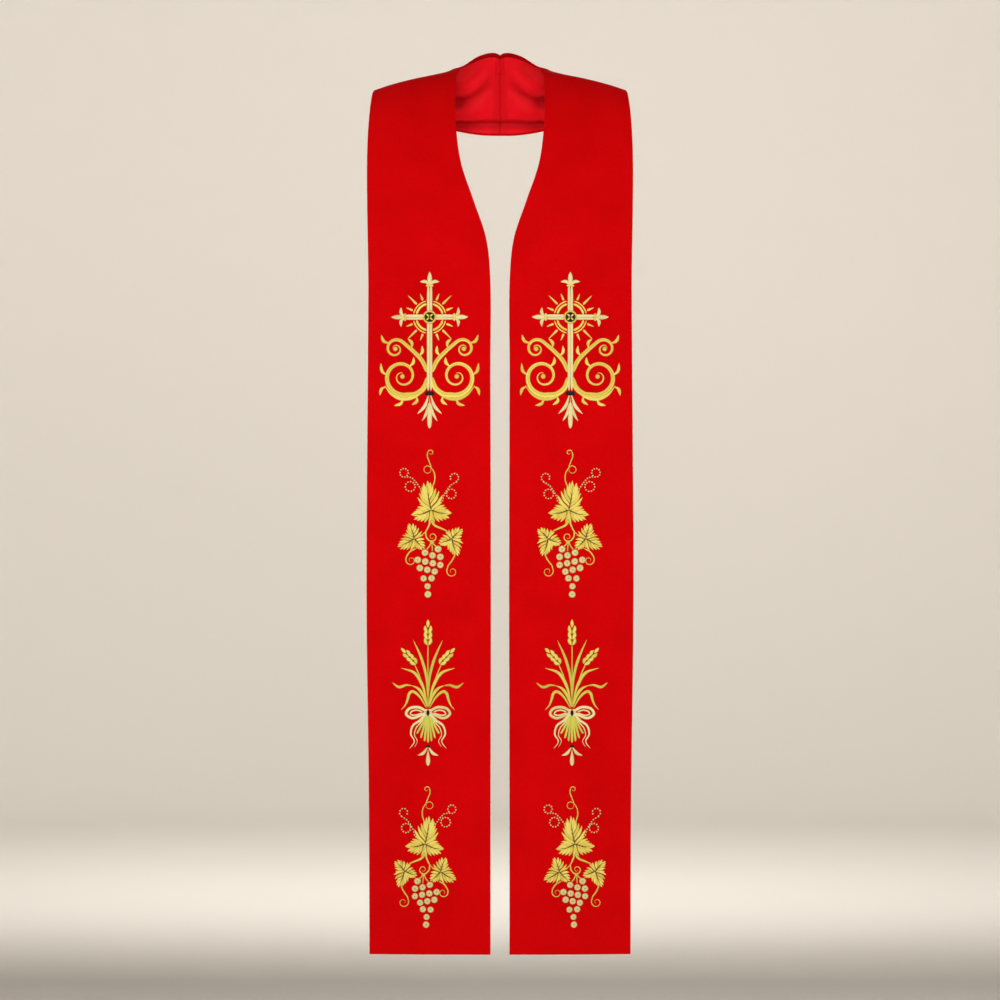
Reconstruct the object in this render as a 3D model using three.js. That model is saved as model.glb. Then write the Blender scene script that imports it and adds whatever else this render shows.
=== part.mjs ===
// A clerical stole as it hangs from a wearer's neck and shoulders, with no wearer in it.
//
// Frame, in millimetres: +Z is up, the front faces -Y, and the wearer's left is +X.
// The origin is the middle of the neck, level with where the cloth lies on the shoulders beside it.
//
// The stole is two mirrored halves that meet in a seam at the centre back. A half is a band of outer cloth
// with its edges turned to the inside, and a lining that lies between those turned edges.

import * as THREE from "three";

const OUTER_CLOTH = 1.2; // thickness of the outer cloth with its interfacing
const LINING_CLOTH = 1.0; // thickness of the satin lining
const SEAM_GAP = 0.3; // clearance between pieces that are sewn together
const TURNED_EDGE = 4.5; // width of outer cloth that shows on the lining side
const ACROSS_STEPS = 8; // flats across a band

const STACK = OUTER_CLOTH + SEAM_GAP + LINING_CLOTH; // thickness where the edge is turned
const MIDDLE = SEAM_GAP / 2; // each half stops this far from the middle plane

const OUTER_COLOUR = 0xc40208;
const LINING_COLOUR = 0xd8121e;

// The wearer's left half, one row for each section across the band, from the centre-back seam to the hem.
// neckX, neckY and neckZ place the edge that runs beside the neck and down the middle of the chest, and
// outerX, outerY and outerZ the other edge. belly is how far the section bows outwards at its middle, and
// steps is how many rings lie between this section and the next.
const SECTIONS = [
  // The back of the neck, from the seam round to the top of the shoulder.
  { neckX: MIDDLE, neckY: 68, neckZ: 34, outerX: MIDDLE, outerY: 105, outerZ: -72, belly: 3, steps: 2 },
  { neckX: 10, neckY: 67, neckZ: 35.5, outerX: 22, outerY: 105, outerZ: -71.5, belly: 3, steps: 2 },
  { neckX: 26, neckY: 60, neckZ: 31, outerX: 62, outerY: 101, outerZ: -66, belly: 3, steps: 3 },
  { neckX: 39.5, neckY: 49, neckZ: 23, outerX: 103, outerY: 87, outerZ: -56, belly: 3.5, steps: 3 },
  { neckX: 48.5, neckY: 35, neckZ: 16, outerX: 138, outerY: 60, outerZ: -40, belly: 4.5, steps: 3 },
  { neckX: 54, neckY: 19, neckZ: 9.5, outerX: 159, outerY: 29, outerZ: -24, belly: 5, steps: 3 },
  // Over the shoulder and down to the chest.
  { neckX: 57, neckY: 2, neckZ: 0.5, outerX: 167, outerY: 2, outerZ: -19, belly: 5, steps: 3 },
  { neckX: 58.5, neckY: -24, neckZ: -27, outerX: 170.5, outerY: -22, outerZ: -36, belly: 4.5, steps: 3 },
  { neckX: 57.5, neckY: -50, neckZ: -69, outerX: 173.5, outerY: -44, outerZ: -75, belly: 4, steps: 3 },
  { neckX: 51, neckY: -69, neckZ: -118, outerX: 174.5, outerY: -60, outerZ: -120, belly: 3.5, steps: 3 },
  { neckX: 34, neckY: -85, neckZ: -170, outerX: 174, outerY: -72, outerZ: -170, belly: 3, steps: 3 },
  { neckX: 18, neckY: -96, neckZ: -219, outerX: 173, outerY: -82, outerZ: -219, belly: 3, steps: 3 },
  { neckX: 12.8, neckY: -103, neckZ: -268, outerX: 172, outerY: -89, outerZ: -268, belly: 2.5, steps: 3 },
  // The fronts, hanging clear of the body.
  { neckX: 12.5, neckY: -108, neckZ: -400, outerX: 172.5, outerY: -96, outerZ: -400, belly: 2, steps: 4 },
  { neckX: 11.8, neckY: -107, neckZ: -690, outerX: 174, outerY: -97, outerZ: -690, belly: 2, steps: 4 },
  { neckX: 12.3, neckY: -103, neckZ: -950, outerX: 171, outerY: -94, outerZ: -950, belly: 2, steps: 3 },
  { neckX: 12.3, neckY: -100, neckZ: -1152, outerX: 170.3, outerY: -91, outerZ: -1152, belly: 2, steps: 0 },
];

const LAST = SECTIONS.length - 1;
const neckEdge = edgeCurve("neck");
const outerEdge = edgeCurve("outer");

// The smooth edge through the points that share a prefix in SECTIONS.
function edgeCurve(prefix) {
  const points = SECTIONS.map(
    (s) => new THREE.Vector3(s[prefix + "X"], s[prefix + "Y"], s[prefix + "Z"]),
  );
  return new THREE.CatmullRomCurve3(points, false, "centripetal");
}

// The belly between sections, eased so that the cloth has no kink at a section.
function bellyAt(along) {
  const row = Math.min(Math.floor(along), LAST - 1);
  return THREE.MathUtils.lerp(
    SECTIONS[row].belly,
    SECTIONS[row + 1].belly,
    THREE.MathUtils.smoothstep(along - row, 0, 1),
  );
}

// A point of the flat-sectioned band: along counts sections from the seam, share runs 0 to 1 across.
function flatPoint(along, share) {
  const neck = neckEdge.getPoint(along / LAST);
  return neck.lerp(outerEdge.getPoint(along / LAST), share);
}

// The direction out of the cloth at a point given by a function of along and share.
function outwards(point, along, share) {
  const reach = 1e-3;
  const before = Math.max(along - reach, 0);
  const after = Math.min(along + reach, LAST);
  const down = point(after, share).sub(point(before, share));
  const across = point(along, Math.min(share + reach, 1)).sub(point(along, Math.max(share - reach, 0)));
  const normal = down.cross(across);
  if (along === 0) normal.x = 0; // the halves mirror each other, so the seam's section stays in one plane
  return normal.normalize();
}

// A point on the outside face of the cloth.
function facePoint(along, share) {
  const bow = 4 * share * (1 - share) * bellyAt(along);
  const centre = outwards(flatPoint, along, 0.5);
  return flatPoint(along, share).addScaledVector(centre, bow);
}

// A point under the outside face, given by its distance in from the neck edge and its depth.
function pointUnder(along, distance, depth) {
  const share = distance / widthAt(along);
  return facePoint(along, share).addScaledVector(outwards(facePoint, along, share), -depth);
}

function widthAt(along) {
  return flatPoint(along, 0).distanceTo(flatPoint(along, 1));
}

// Where a piece that ends this far above the hem has its last section.
function alongAbove(hemDistance) {
  const height = SECTIONS[LAST].neckZ + hemDistance;
  let low = LAST - 1;
  let high = LAST;
  for (let i = 0; i < 40; i++) {
    const middle = (low + high) / 2;
    if (flatPoint(middle, 0).z > height) low = middle;
    else high = middle;
  }
  return high;
}


// The places of a piece's rings from the seam down to its end.
function ringPlaces(end) {
  const places = [];
  SECTIONS.forEach((section, row) => {
    for (let i = 0; i < section.steps; i++) places.push(row + i / section.steps);
  });
  return [...places.filter((along) => along < end - 0.01), end];
}

// Evenly spaced distances from one side of a band to the other.
function distances(from, to) {
  return Array.from({ length: ACROSS_STEPS + 1 }, (_, i) => from + ((to - from) * i) / ACROSS_STEPS);
}

// Each section below is a closed outline of corners [distance in from the neck edge, depth under the face].

// The outer cloth: its face, then the two turned edges with the inside of the cloth between them.
// At the hem the cloth is turned up as well, so there its inside is level with the turned edges.
function outerSection(width, isTurnedUp) {
  const inside = isTurnedUp ? STACK : OUTER_CLOTH;
  const inset = TURNED_EDGE + SEAM_GAP;
  return [
    ...distances(0, width).map((distance) => [distance, 0]),
    [width, STACK],
    [width - TURNED_EDGE, STACK],
    ...distances(width - inset, inset).map((distance) => [distance, inside]),
    [TURNED_EDGE, STACK],
    [0, STACK],
  ];
}

// The lining, which fills the space between the turned edges.
function liningSection(width) {
  const inset = TURNED_EDGE + 2 * SEAM_GAP;
  return [
    ...distances(inset, width - inset).map((distance) => [distance, OUTER_CLOTH + SEAM_GAP]),
    ...distances(width - inset, inset).map((distance) => [distance, STACK]),
  ];
}

// A closed solid through outlines placed along the band. side is 1 for the wearer's left, -1 for the right.
function sweep(stations, side) {
  const positions = stations.flatMap(({ along, outline }) =>
    outline.flatMap(([distance, depth]) => {
      const point = pointUnder(along, distance, depth);
      return [side * point.x, point.y, point.z];
    }),
  );
  const count = stations[0].outline.length;
  const triangles = [];
  for (let ring = 0; ring < stations.length - 1; ring++) {
    for (let i = 0; i < count; i++) {
      const next = (i + 1) % count;
      const [a, b] = [ring * count + i, ring * count + next];
      // Every layer is split along the same diagonal, so that layers stay parallel where the band twists.
      const goesAcross = stations[ring].outline[next][0] > stations[ring].outline[i][0];
      if (goesAcross) triangles.push([a, a + count, b], [b, a + count, b + count]);
      else triangles.push([a, a + count, b + count], [a, b + count, b]);
    }
  }
  const lastRing = positions.length / 3 - count;
  triangles.push(...capOf(stations[0], 0, false), ...capOf(stations.at(-1), lastRing, true));
  const index = triangles.flatMap(([a, b, c]) => (side > 0 ? [a, b, c] : [a, c, b]));
  const geometry = new THREE.BufferGeometry();
  geometry.setAttribute("position", new THREE.Float32BufferAttribute(positions, 3));
  geometry.setIndex(index);
  geometry.computeVertexNormals();
  return geometry;
}

// The triangles that close one end of a sweep, whose outline's first vertex is start.
function capOf(station, start, isFarEnd) {
  const corners = station.outline.map(([distance, depth]) => new THREE.Vector2(distance, depth));
  const faces = THREE.ShapeUtils.triangulateShape(corners, []);
  return faces.map(([a, b, c]) => [a, isFarEnd ? c : b, isFarEnd ? b : c].map((corner) => start + corner));
}

function outerBand(side) {
  const hemTurn = alongAbove(TURNED_EDGE);
  const stations = ringPlaces(alongAbove(TURNED_EDGE + SEAM_GAP)).map((along) => ({
    along,
    outline: outerSection(widthAt(along), false),
  }));
  for (const along of [hemTurn, LAST]) stations.push({ along, outline: outerSection(widthAt(along), true) });
  return sweep(stations, side);
}

function liningBand(side) {
  const stations = ringPlaces(alongAbove(TURNED_EDGE + 2 * SEAM_GAP)).map((along) => ({
    along,
    outline: liningSection(widthAt(along)),
  }));
  return sweep(stations, side);
}

const outerCloth = new THREE.MeshStandardMaterial({ color: OUTER_COLOUR, roughness: 0.85, metalness: 0 });
const liningSatin = new THREE.MeshStandardMaterial({ color: LINING_COLOUR, roughness: 0.4, metalness: 0 });

const stole = new THREE.Group();
for (const [wearerSide, side] of Object.entries({ left: 1, right: -1 })) {
  const outer = new THREE.Mesh(outerBand(side), outerCloth);
  outer.name = "outer_" + wearerSide;
  const lining = new THREE.Mesh(liningBand(side), liningSatin);
  lining.name = "lining_" + wearerSide;
  stole.add(outer, lining);
}

export default stole;
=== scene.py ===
"""A red clerical stole, hanging as worn with no wearer in it, dressed around its packed construction.

Lengths are metres and angles are degrees unless a name says otherwise. +Z is up, -Y is the front and
+X is the wearer's left. The stole is two mirrored bands that meet in a seam at the centre back. Each is
an outer cloth of matt crepe with its edges turned in, a satin lining, and embroidery laid on the front.
"""

import logging
import math
from collections.abc import Callable
from dataclasses import dataclass, field
from enum import Enum

import bpy
import numpy as np
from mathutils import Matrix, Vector


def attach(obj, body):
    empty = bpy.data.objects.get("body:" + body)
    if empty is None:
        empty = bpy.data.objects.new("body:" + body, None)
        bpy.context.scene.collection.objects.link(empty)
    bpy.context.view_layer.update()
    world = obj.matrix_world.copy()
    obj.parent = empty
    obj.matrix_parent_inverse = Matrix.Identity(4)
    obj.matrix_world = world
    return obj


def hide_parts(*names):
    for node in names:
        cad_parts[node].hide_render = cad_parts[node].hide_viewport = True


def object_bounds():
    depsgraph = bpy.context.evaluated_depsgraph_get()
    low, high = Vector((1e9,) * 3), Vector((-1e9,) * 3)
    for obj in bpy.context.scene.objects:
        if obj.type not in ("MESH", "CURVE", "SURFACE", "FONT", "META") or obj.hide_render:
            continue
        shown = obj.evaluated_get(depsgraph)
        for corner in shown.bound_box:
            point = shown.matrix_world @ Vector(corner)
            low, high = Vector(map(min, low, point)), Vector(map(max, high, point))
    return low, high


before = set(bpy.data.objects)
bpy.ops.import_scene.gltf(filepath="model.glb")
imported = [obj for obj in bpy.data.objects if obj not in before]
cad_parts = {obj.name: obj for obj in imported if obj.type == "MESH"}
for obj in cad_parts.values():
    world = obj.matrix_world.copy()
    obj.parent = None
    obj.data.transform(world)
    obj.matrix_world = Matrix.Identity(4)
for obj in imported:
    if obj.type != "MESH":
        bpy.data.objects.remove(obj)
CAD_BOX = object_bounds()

LOG = logging.getLogger("stole")
MM = 0.001
BODY = "root"

Array = np.ndarray
Socket = bpy.types.NodeSocket
Colour = tuple[float, float, float]
Route = tuple[tuple[float, float], ...]
PointAt = Callable[[Array, Array], Array]
Number = float | Socket
Value = float | int | str | bool | tuple | bpy.types.ID | Socket


# The worn shape


class Side(Enum):
    """The two halves of the stole, by the wearer's side that each lies on."""

    LEFT = 1
    RIGHT = -1

    @property
    def word(self) -> str:
        """The side's name in the nodes and pieces."""
        return self.name.lower()


@dataclass(frozen=True)
class Section:
    """One section across the left band, from its neck edge to its outer edge, bowed out by its belly."""

    neck: tuple[float, float, float]
    outer: tuple[float, float, float]
    belly: float


# From the centre-back seam round the neck, over the shoulder, down the chest and down to the hem.
SECTIONS = (
    Section(neck=(0.00015, 0.068, 0.034), outer=(0.00015, 0.105, -0.072), belly=0.003),
    Section(neck=(0.010, 0.067, 0.0355), outer=(0.022, 0.105, -0.0715), belly=0.003),
    Section(neck=(0.026, 0.060, 0.031), outer=(0.062, 0.101, -0.066), belly=0.003),
    Section(neck=(0.0395, 0.049, 0.023), outer=(0.103, 0.087, -0.056), belly=0.0035),
    Section(neck=(0.0485, 0.035, 0.016), outer=(0.138, 0.060, -0.040), belly=0.0045),
    Section(neck=(0.054, 0.019, 0.0095), outer=(0.159, 0.029, -0.024), belly=0.005),
    Section(neck=(0.057, 0.002, 0.0005), outer=(0.167, 0.002, -0.019), belly=0.005),
    Section(neck=(0.0585, -0.024, -0.027), outer=(0.1705, -0.022, -0.036), belly=0.0045),
    Section(neck=(0.0575, -0.050, -0.069), outer=(0.1735, -0.044, -0.075), belly=0.004),
    Section(neck=(0.051, -0.069, -0.118), outer=(0.1745, -0.060, -0.120), belly=0.0035),
    Section(neck=(0.034, -0.085, -0.170), outer=(0.174, -0.072, -0.170), belly=0.003),
    Section(neck=(0.018, -0.096, -0.219), outer=(0.173, -0.082, -0.219), belly=0.003),
    Section(neck=(0.0128, -0.103, -0.268), outer=(0.172, -0.089, -0.268), belly=0.0025),
    Section(neck=(0.0125, -0.108, -0.400), outer=(0.1725, -0.096, -0.400), belly=0.002),
    Section(neck=(0.0118, -0.107, -0.690), outer=(0.174, -0.097, -0.690), belly=0.002),
    Section(neck=(0.0123, -0.103, -0.950), outer=(0.171, -0.094, -0.950), belly=0.002),
    Section(neck=(0.0123, -0.100, -1.152), outer=(0.1703, -0.091, -1.152), belly=0.002),
)


def smoothstep(value: Array) -> Array:
    """Eases 0 to 1 with no kink at either end."""
    value = np.clip(value, 0.0, 1.0)
    return value * value * (3 - 2 * value)


class SmoothPath:
    """A centripetal Catmull-Rom curve through points of any dimension."""

    def __init__(self, points: Array) -> None:
        """Keeps the points.

        Args:
            points: one row for each point that the curve passes through.
        """
        points = np.asarray(points, float)
        first = 2 * points[0] - points[1]
        last = 2 * points[-1] - points[-2]
        self.last = len(points) - 1
        self.points = np.vstack([first, points, last])

    def at(self, along: Array) -> Array:
        """Gives points of the curve.

        Args:
            along: places counted in points from the first, such as 2.5 for halfway from the third to
                the fourth.

        Returns:
            An array of along's shape with one more axis, for the coordinates.
        """
        along = np.asarray(along, float)
        start = np.clip(np.floor(along).astype(int), 0, self.last - 1)
        weight = (along - start)[..., None]
        p0, p1, p2, p3 = (self.points[start + i] for i in range(4))
        d0, d1, d2 = (
            np.sqrt(
                np.linalg.norm(b - a, axis=-1, keepdims=True)
            ) for a, b in ((p0, p1), (p1, p2), (p2, p3))
        )
        t1 = ((p1 - p0) / d0 - (p2 - p0) / (d0 + d1) + (p2 - p1) / d1) * d1
        t2 = ((p2 - p1) / d1 - (p3 - p1) / (d1 + d2) + (p3 - p2) / d2) * d1
        square, cube = weight**2, weight**3
        return (
            p1
            + t1 * weight
            + (3 * (p2 - p1) - 2 * t1 - t2) * square
            + (2 * (p1 - p2) + t1 + t2) * cube
        )


class BandForm:
    """The smooth outside face of the left band. The right band mirrors it."""

    REACH = 1e-3  # how far apart two places are when they give a direction
    TABLE_ROWS = 4000  # places at which the length along the middle is measured

    def __init__(self, sections: tuple[Section, ...]) -> None:
        """Measures the band's length along its middle.

        Args:
            sections: the band's sections, from the seam to the hem.
        """
        self.last = len(sections) - 1
        self.neck_edge = SmoothPath([s.neck for s in sections])
        self.outer_edge = SmoothPath([s.outer for s in sections])
        self.bellies = np.array([s.belly for s in sections])
        self.table_along = np.linspace(0, self.last, self.TABLE_ROWS)
        middle = self.flat_point(self.table_along, np.full(self.TABLE_ROWS, 0.5))
        steps = np.linalg.norm(np.diff(middle, axis=0), axis=1)
        self.table_length = np.concatenate([[0.0], np.cumsum(steps)])

    @property
    def length(self) -> float:
        """The band's length along its middle, from the seam to the hem."""
        return float(self.table_length[-1])

    @property
    def widest(self) -> float:
        """The band's greatest width."""
        return float(self.width(self.table_along).max())

    @property
    def area(self) -> float:
        """The band's flat area, from its width all the way along."""
        return float(np.trapz(self.width(self.table_along), self.table_length))

    def along(self, length: Array) -> Array:
        """Turns lengths from the seam into places counted in sections."""
        return np.interp(length, self.table_length, self.table_along)

    def belly(self, along: Array) -> Array:
        """How far the face bows out at the middle, eased between the sections.

        Args:
            along: places counted in sections.

        Returns:
            The bow in metres, an array of along's shape.
        """
        row = np.clip(np.floor(along).astype(int), 0, self.last - 1)
        ease = smoothstep(along - row)
        return self.bellies[row] * (1 - ease) + self.bellies[row + 1] * ease

    def flat_point(self, along: Array, share: Array) -> Array:
        """A point straight between the edges, at a share of the way across."""
        neck, outer = self.neck_edge.at(along), self.outer_edge.at(along)
        return neck + (outer - neck) * np.asarray(share)[..., None]

    def width(self, along: Array) -> Array:
        """The width of the band."""
        return np.linalg.norm(self.outer_edge.at(along) - self.neck_edge.at(along), axis=-1)

    def outwards(self, point: PointAt, along: Array, share: Array) -> Array:
        """The direction out of the cloth.

        Args:
            point: flat_point or face_point.
            along: places counted in sections.
            share: shares of the way across, of the same shape.

        Returns:
            Unit vectors, with one more axis than along.
        """
        down = point(np.minimum(along + self.REACH, self.last), share) - point(
            np.maximum(along - self.REACH, 0), share
        )
        across = point(
            along, np.minimum(share + self.REACH, 1)
        ) - point(along, np.maximum(share - self.REACH, 0))
        normal = np.cross(down, across)
        normal[..., 0][along <= 0] = 0.0
        return normal / np.linalg.norm(normal, axis=-1, keepdims=True)

    def face_point(self, along: Array, share: Array) -> Array:
        """A point on the outside face of the cloth.

        Args:
            along: places counted in sections.
            share: shares of the way across, of the same shape.

        Returns:
            Points, with one more axis than along.
        """
        bow = 4 * share * (1 - share) * self.belly(along)
        centre = self.outwards(self.flat_point, along, np.full(np.shape(along), 0.5))
        return self.flat_point(along, share) + centre * bow[..., None]


@dataclass(frozen=True)
class Crease:
    """A soft trough or ridge in the cloth, by a few places on it.

    Each place is a length from the seam and a distance from the neck edge. depth is how far the crease
    goes away from the wearer at its middle, and below zero it is a ridge towards the wearer.
    spread is how much wider it is beyond its route, on the side away from the neck edge.
    """

    route: Route
    width: float
    depth: float
    spread: float = 1.0

    STEPS = 40  # stretches that the route is measured in
    END = 0.04  # share of the depth's rise and fall that an end of the route starts from

    def at(self, length: Array, distance: Array) -> Array:
        """The cloth's shift outwards at places given by length and distance.

        Args:
            length: lengths from the seam.
            distance: distances from the neck edge, of the same shape.

        Returns:
            The shift in metres at each place.
        """
        path = SmoothPath(self.route).at(np.linspace(0, len(self.route) - 1, self.STEPS + 1))
        gaps = np.hypot(length[..., None] - path[:, 0], distance[..., None] - path[:, 1])
        nearest = gaps.argmin(axis=-1)
        fade = np.sin(np.pi * np.clip(nearest / self.STEPS, self.END, 1 - self.END)) ** 0.6
        width = np.where(distance > path[nearest, 1], self.width * self.spread, self.width)
        return self.depth * fade * np.exp(-((gaps.min(axis=-1) / width) ** 2))


# Both halves crease alike at the back of the neck, and each front has slow folds of its own.
NECK_CREASES = (
    Crease(
        route=((0.088, 0.078), (0.058, 0.072), (0.036, 0.062), (0.021, 0.049), (0.012, 0.034)),
        width=0.0060, depth=0.0050, spread=1.5,
    ),
    Crease(
        route=((0.066, 0.056), (0.044, 0.050), (0.026, 0.036), (0.018, 0.024)), width=0.0075, depth=-0.0030
    ),
    Crease(route=((0.064, 0.092), (0.038, 0.086), (0.016, 0.078)), width=0.0085, depth=-0.0024),
    Crease(route=((0.060, 0.034), (0.044, 0.028), (0.030, 0.014)), width=0.0080, depth=0.0016),
    Crease(
        route=((0.125, 0.004), (0.078, 0.035), (0.057, 0.060), (0.047, 0.085), (0.040, 0.108)),
        width=0.0090, depth=0.0050,
    ),
    Crease(
        route=((-0.020, 0.0960), (0.000, 0.0955), (0.026, 0.0985), (0.055, 0.1030), (0.080, 0.1050)),
        width=0.0046,
        depth=0.0060,
        spread=2.0,
    ),
    Crease(
        route=((0.000, -0.020), (0.000, 0.030), (0.000, 0.080), (0.000, 0.135)), width=0.0032, depth=0.0012
    ),
    Crease(route=((-0.012, 0.0285), (0.000, 0.0280), (0.012, 0.0292)), width=0.0016, depth=0.0019),
    Crease(route=((0.0040, 0.008), (0.0045, 0.016), (0.0035, 0.024)), width=0.0016, depth=0.0011),
    Crease(route=((0.0085, 0.006), (0.0105, 0.016), (0.009, 0.026)), width=0.0022, depth=-0.0012),
    Crease(
        route=((-0.020, -0.001), (0.000, -0.001), (0.030, -0.001), (0.075, -0.001)),
        width=0.0045, depth=0.0028,
    ),
    Crease(route=((0.0015, 0.034), (0.0030, 0.048), (0.0022, 0.066)), width=0.0012, depth=-0.0007),
    Crease(route=((0.0100, 0.030), (0.0110, 0.056), (0.0100, 0.092)), width=0.0030, depth=0.0009),
    Crease(route=((0.110, 0.020), (0.124, 0.050), (0.140, 0.095)), width=0.0160, depth=-0.0010),
    Crease(route=((0.085, 0.095), (0.105, 0.070), (0.128, 0.030)), width=0.0120, depth=0.0010),
)
FRONT_CREASES = {
    Side.LEFT: (
        Crease(route=((0.300, 0.010), (0.360, 0.040), (0.450, 0.062)), width=0.020, depth=-0.0010),
        Crease(route=((0.520, 0.120), (0.700, 0.128), (0.930, 0.118)), width=0.026, depth=0.0011),
        Crease(route=((0.860, 0.030), (1.050, 0.036), (1.300, 0.028)), width=0.024, depth=0.0010),
    ),
    Side.RIGHT: (
        Crease(route=((0.280, 0.016), (0.350, 0.036), (0.430, 0.066)), width=0.022, depth=-0.0009),
        Crease(route=((0.560, 0.036), (0.760, 0.030), (0.980, 0.040)), width=0.026, depth=0.0010),
        Crease(route=((0.900, 0.126), (1.100, 0.120), (1.310, 0.130)), width=0.025, depth=0.0012),
    ),
}

# Where the lining alone puckers towards the wearer, down the inside of both fronts.
LINING_CREASES = (
    Crease(route=((0.200, 0.020), (0.235, 0.070), (0.290, 0.120)), width=0.010, depth=-0.0012),
    Crease(route=((0.330, 0.130), (0.400, 0.100), (0.450, 0.050)), width=0.012, depth=-0.0013),
    Crease(route=((0.470, 0.012), (0.520, 0.040), (0.610, 0.060)), width=0.009, depth=-0.0011),
    Crease(route=((0.600, 0.146), (0.660, 0.120), (0.700, 0.090)), width=0.010, depth=-0.0012),
    Crease(route=((0.720, 0.020), (0.800, 0.050), (0.860, 0.104)), width=0.013, depth=-0.0012),
    Crease(route=((0.900, 0.140), (0.980, 0.128), (1.040, 0.090)), width=0.010, depth=-0.0010),
    Crease(route=((1.080, 0.018), (1.120, 0.050), (1.210, 0.074)), width=0.011, depth=-0.0013),
    Crease(route=((1.220, 0.140), (1.270, 0.116), (1.300, 0.070)), width=0.009, depth=-0.0010),
)


# Node trees


class Wiring:
    """Adds nodes to one tree and joins them up."""

    def __init__(self, tree: bpy.types.NodeTree) -> None:
        """Keeps the tree that the nodes go into."""
        self.tree = tree

    def add(self, kind: str, inputs: dict | None = None, **settings: Value) -> bpy.types.Node:
        """Adds one node.

        Args:
            kind: the node's type.
            inputs: what its inputs take, by socket name or number: a value, or the output of another node.
            **settings: the node's own properties.

        Returns:
            The new node.
        """
        node = self.tree.nodes.new(kind)
        for name, value in settings.items():
            setattr(node, name, value)
        for key, value in (inputs or {}).items():
            self.feed(node.inputs[key], value)
        return node

    def out(self, kind: str, inputs: dict | None = None, **settings: Value) -> Socket:
        """The first output of a new node."""
        return self.add(kind, inputs, **settings).outputs[0]

    def feed(self, socket: Socket, value: Value) -> None:
        """Links an output to a socket, or sets the socket's own value.

        Args:
            socket: the input to feed.
            value: another node's output, or the value itself.
        """
        if isinstance(value, Socket):
            self.tree.links.new(value, socket)
        else:
            socket.default_value = value

    def math(self, operation: str, *values: Number) -> Socket:
        """The result of a Math node on numbers or sockets."""
        return self.out("ShaderNodeMath", dict(enumerate(values)), operation=operation)

    def vector(self, operation: str, *values: Value) -> Socket:
        """The vector result of a Vector Math node."""
        return self.out("ShaderNodeVectorMath", dict(enumerate(values)), operation=operation)

    def scaled(self, vector: Socket, factor: Number) -> Socket:
        """A vector times a number."""
        return self.out("ShaderNodeVectorMath", {0: vector, "Scale": factor}, operation="SCALE")

    def split(self, vector: Socket) -> bpy.types.NodeOutputs:
        """The X, Y and Z outputs of a vector."""
        return self.add("ShaderNodeSeparateXYZ", {0: vector}).outputs

    def joined(self, x: Number, y: Number, z: Number) -> Socket:
        """The vector of three numbers."""
        return self.out("ShaderNodeCombineXYZ", {0: x, 1: y, 2: z})

    def span(self, value: Number, low: float, high: float, to_low: float, to_high: float) -> Socket:
        """A number moved from one span to another, and held inside it."""
        return self.out("ShaderNodeMapRange", {0: value, 1: low, 2: high, 3: to_low, 4: to_high})


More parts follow.
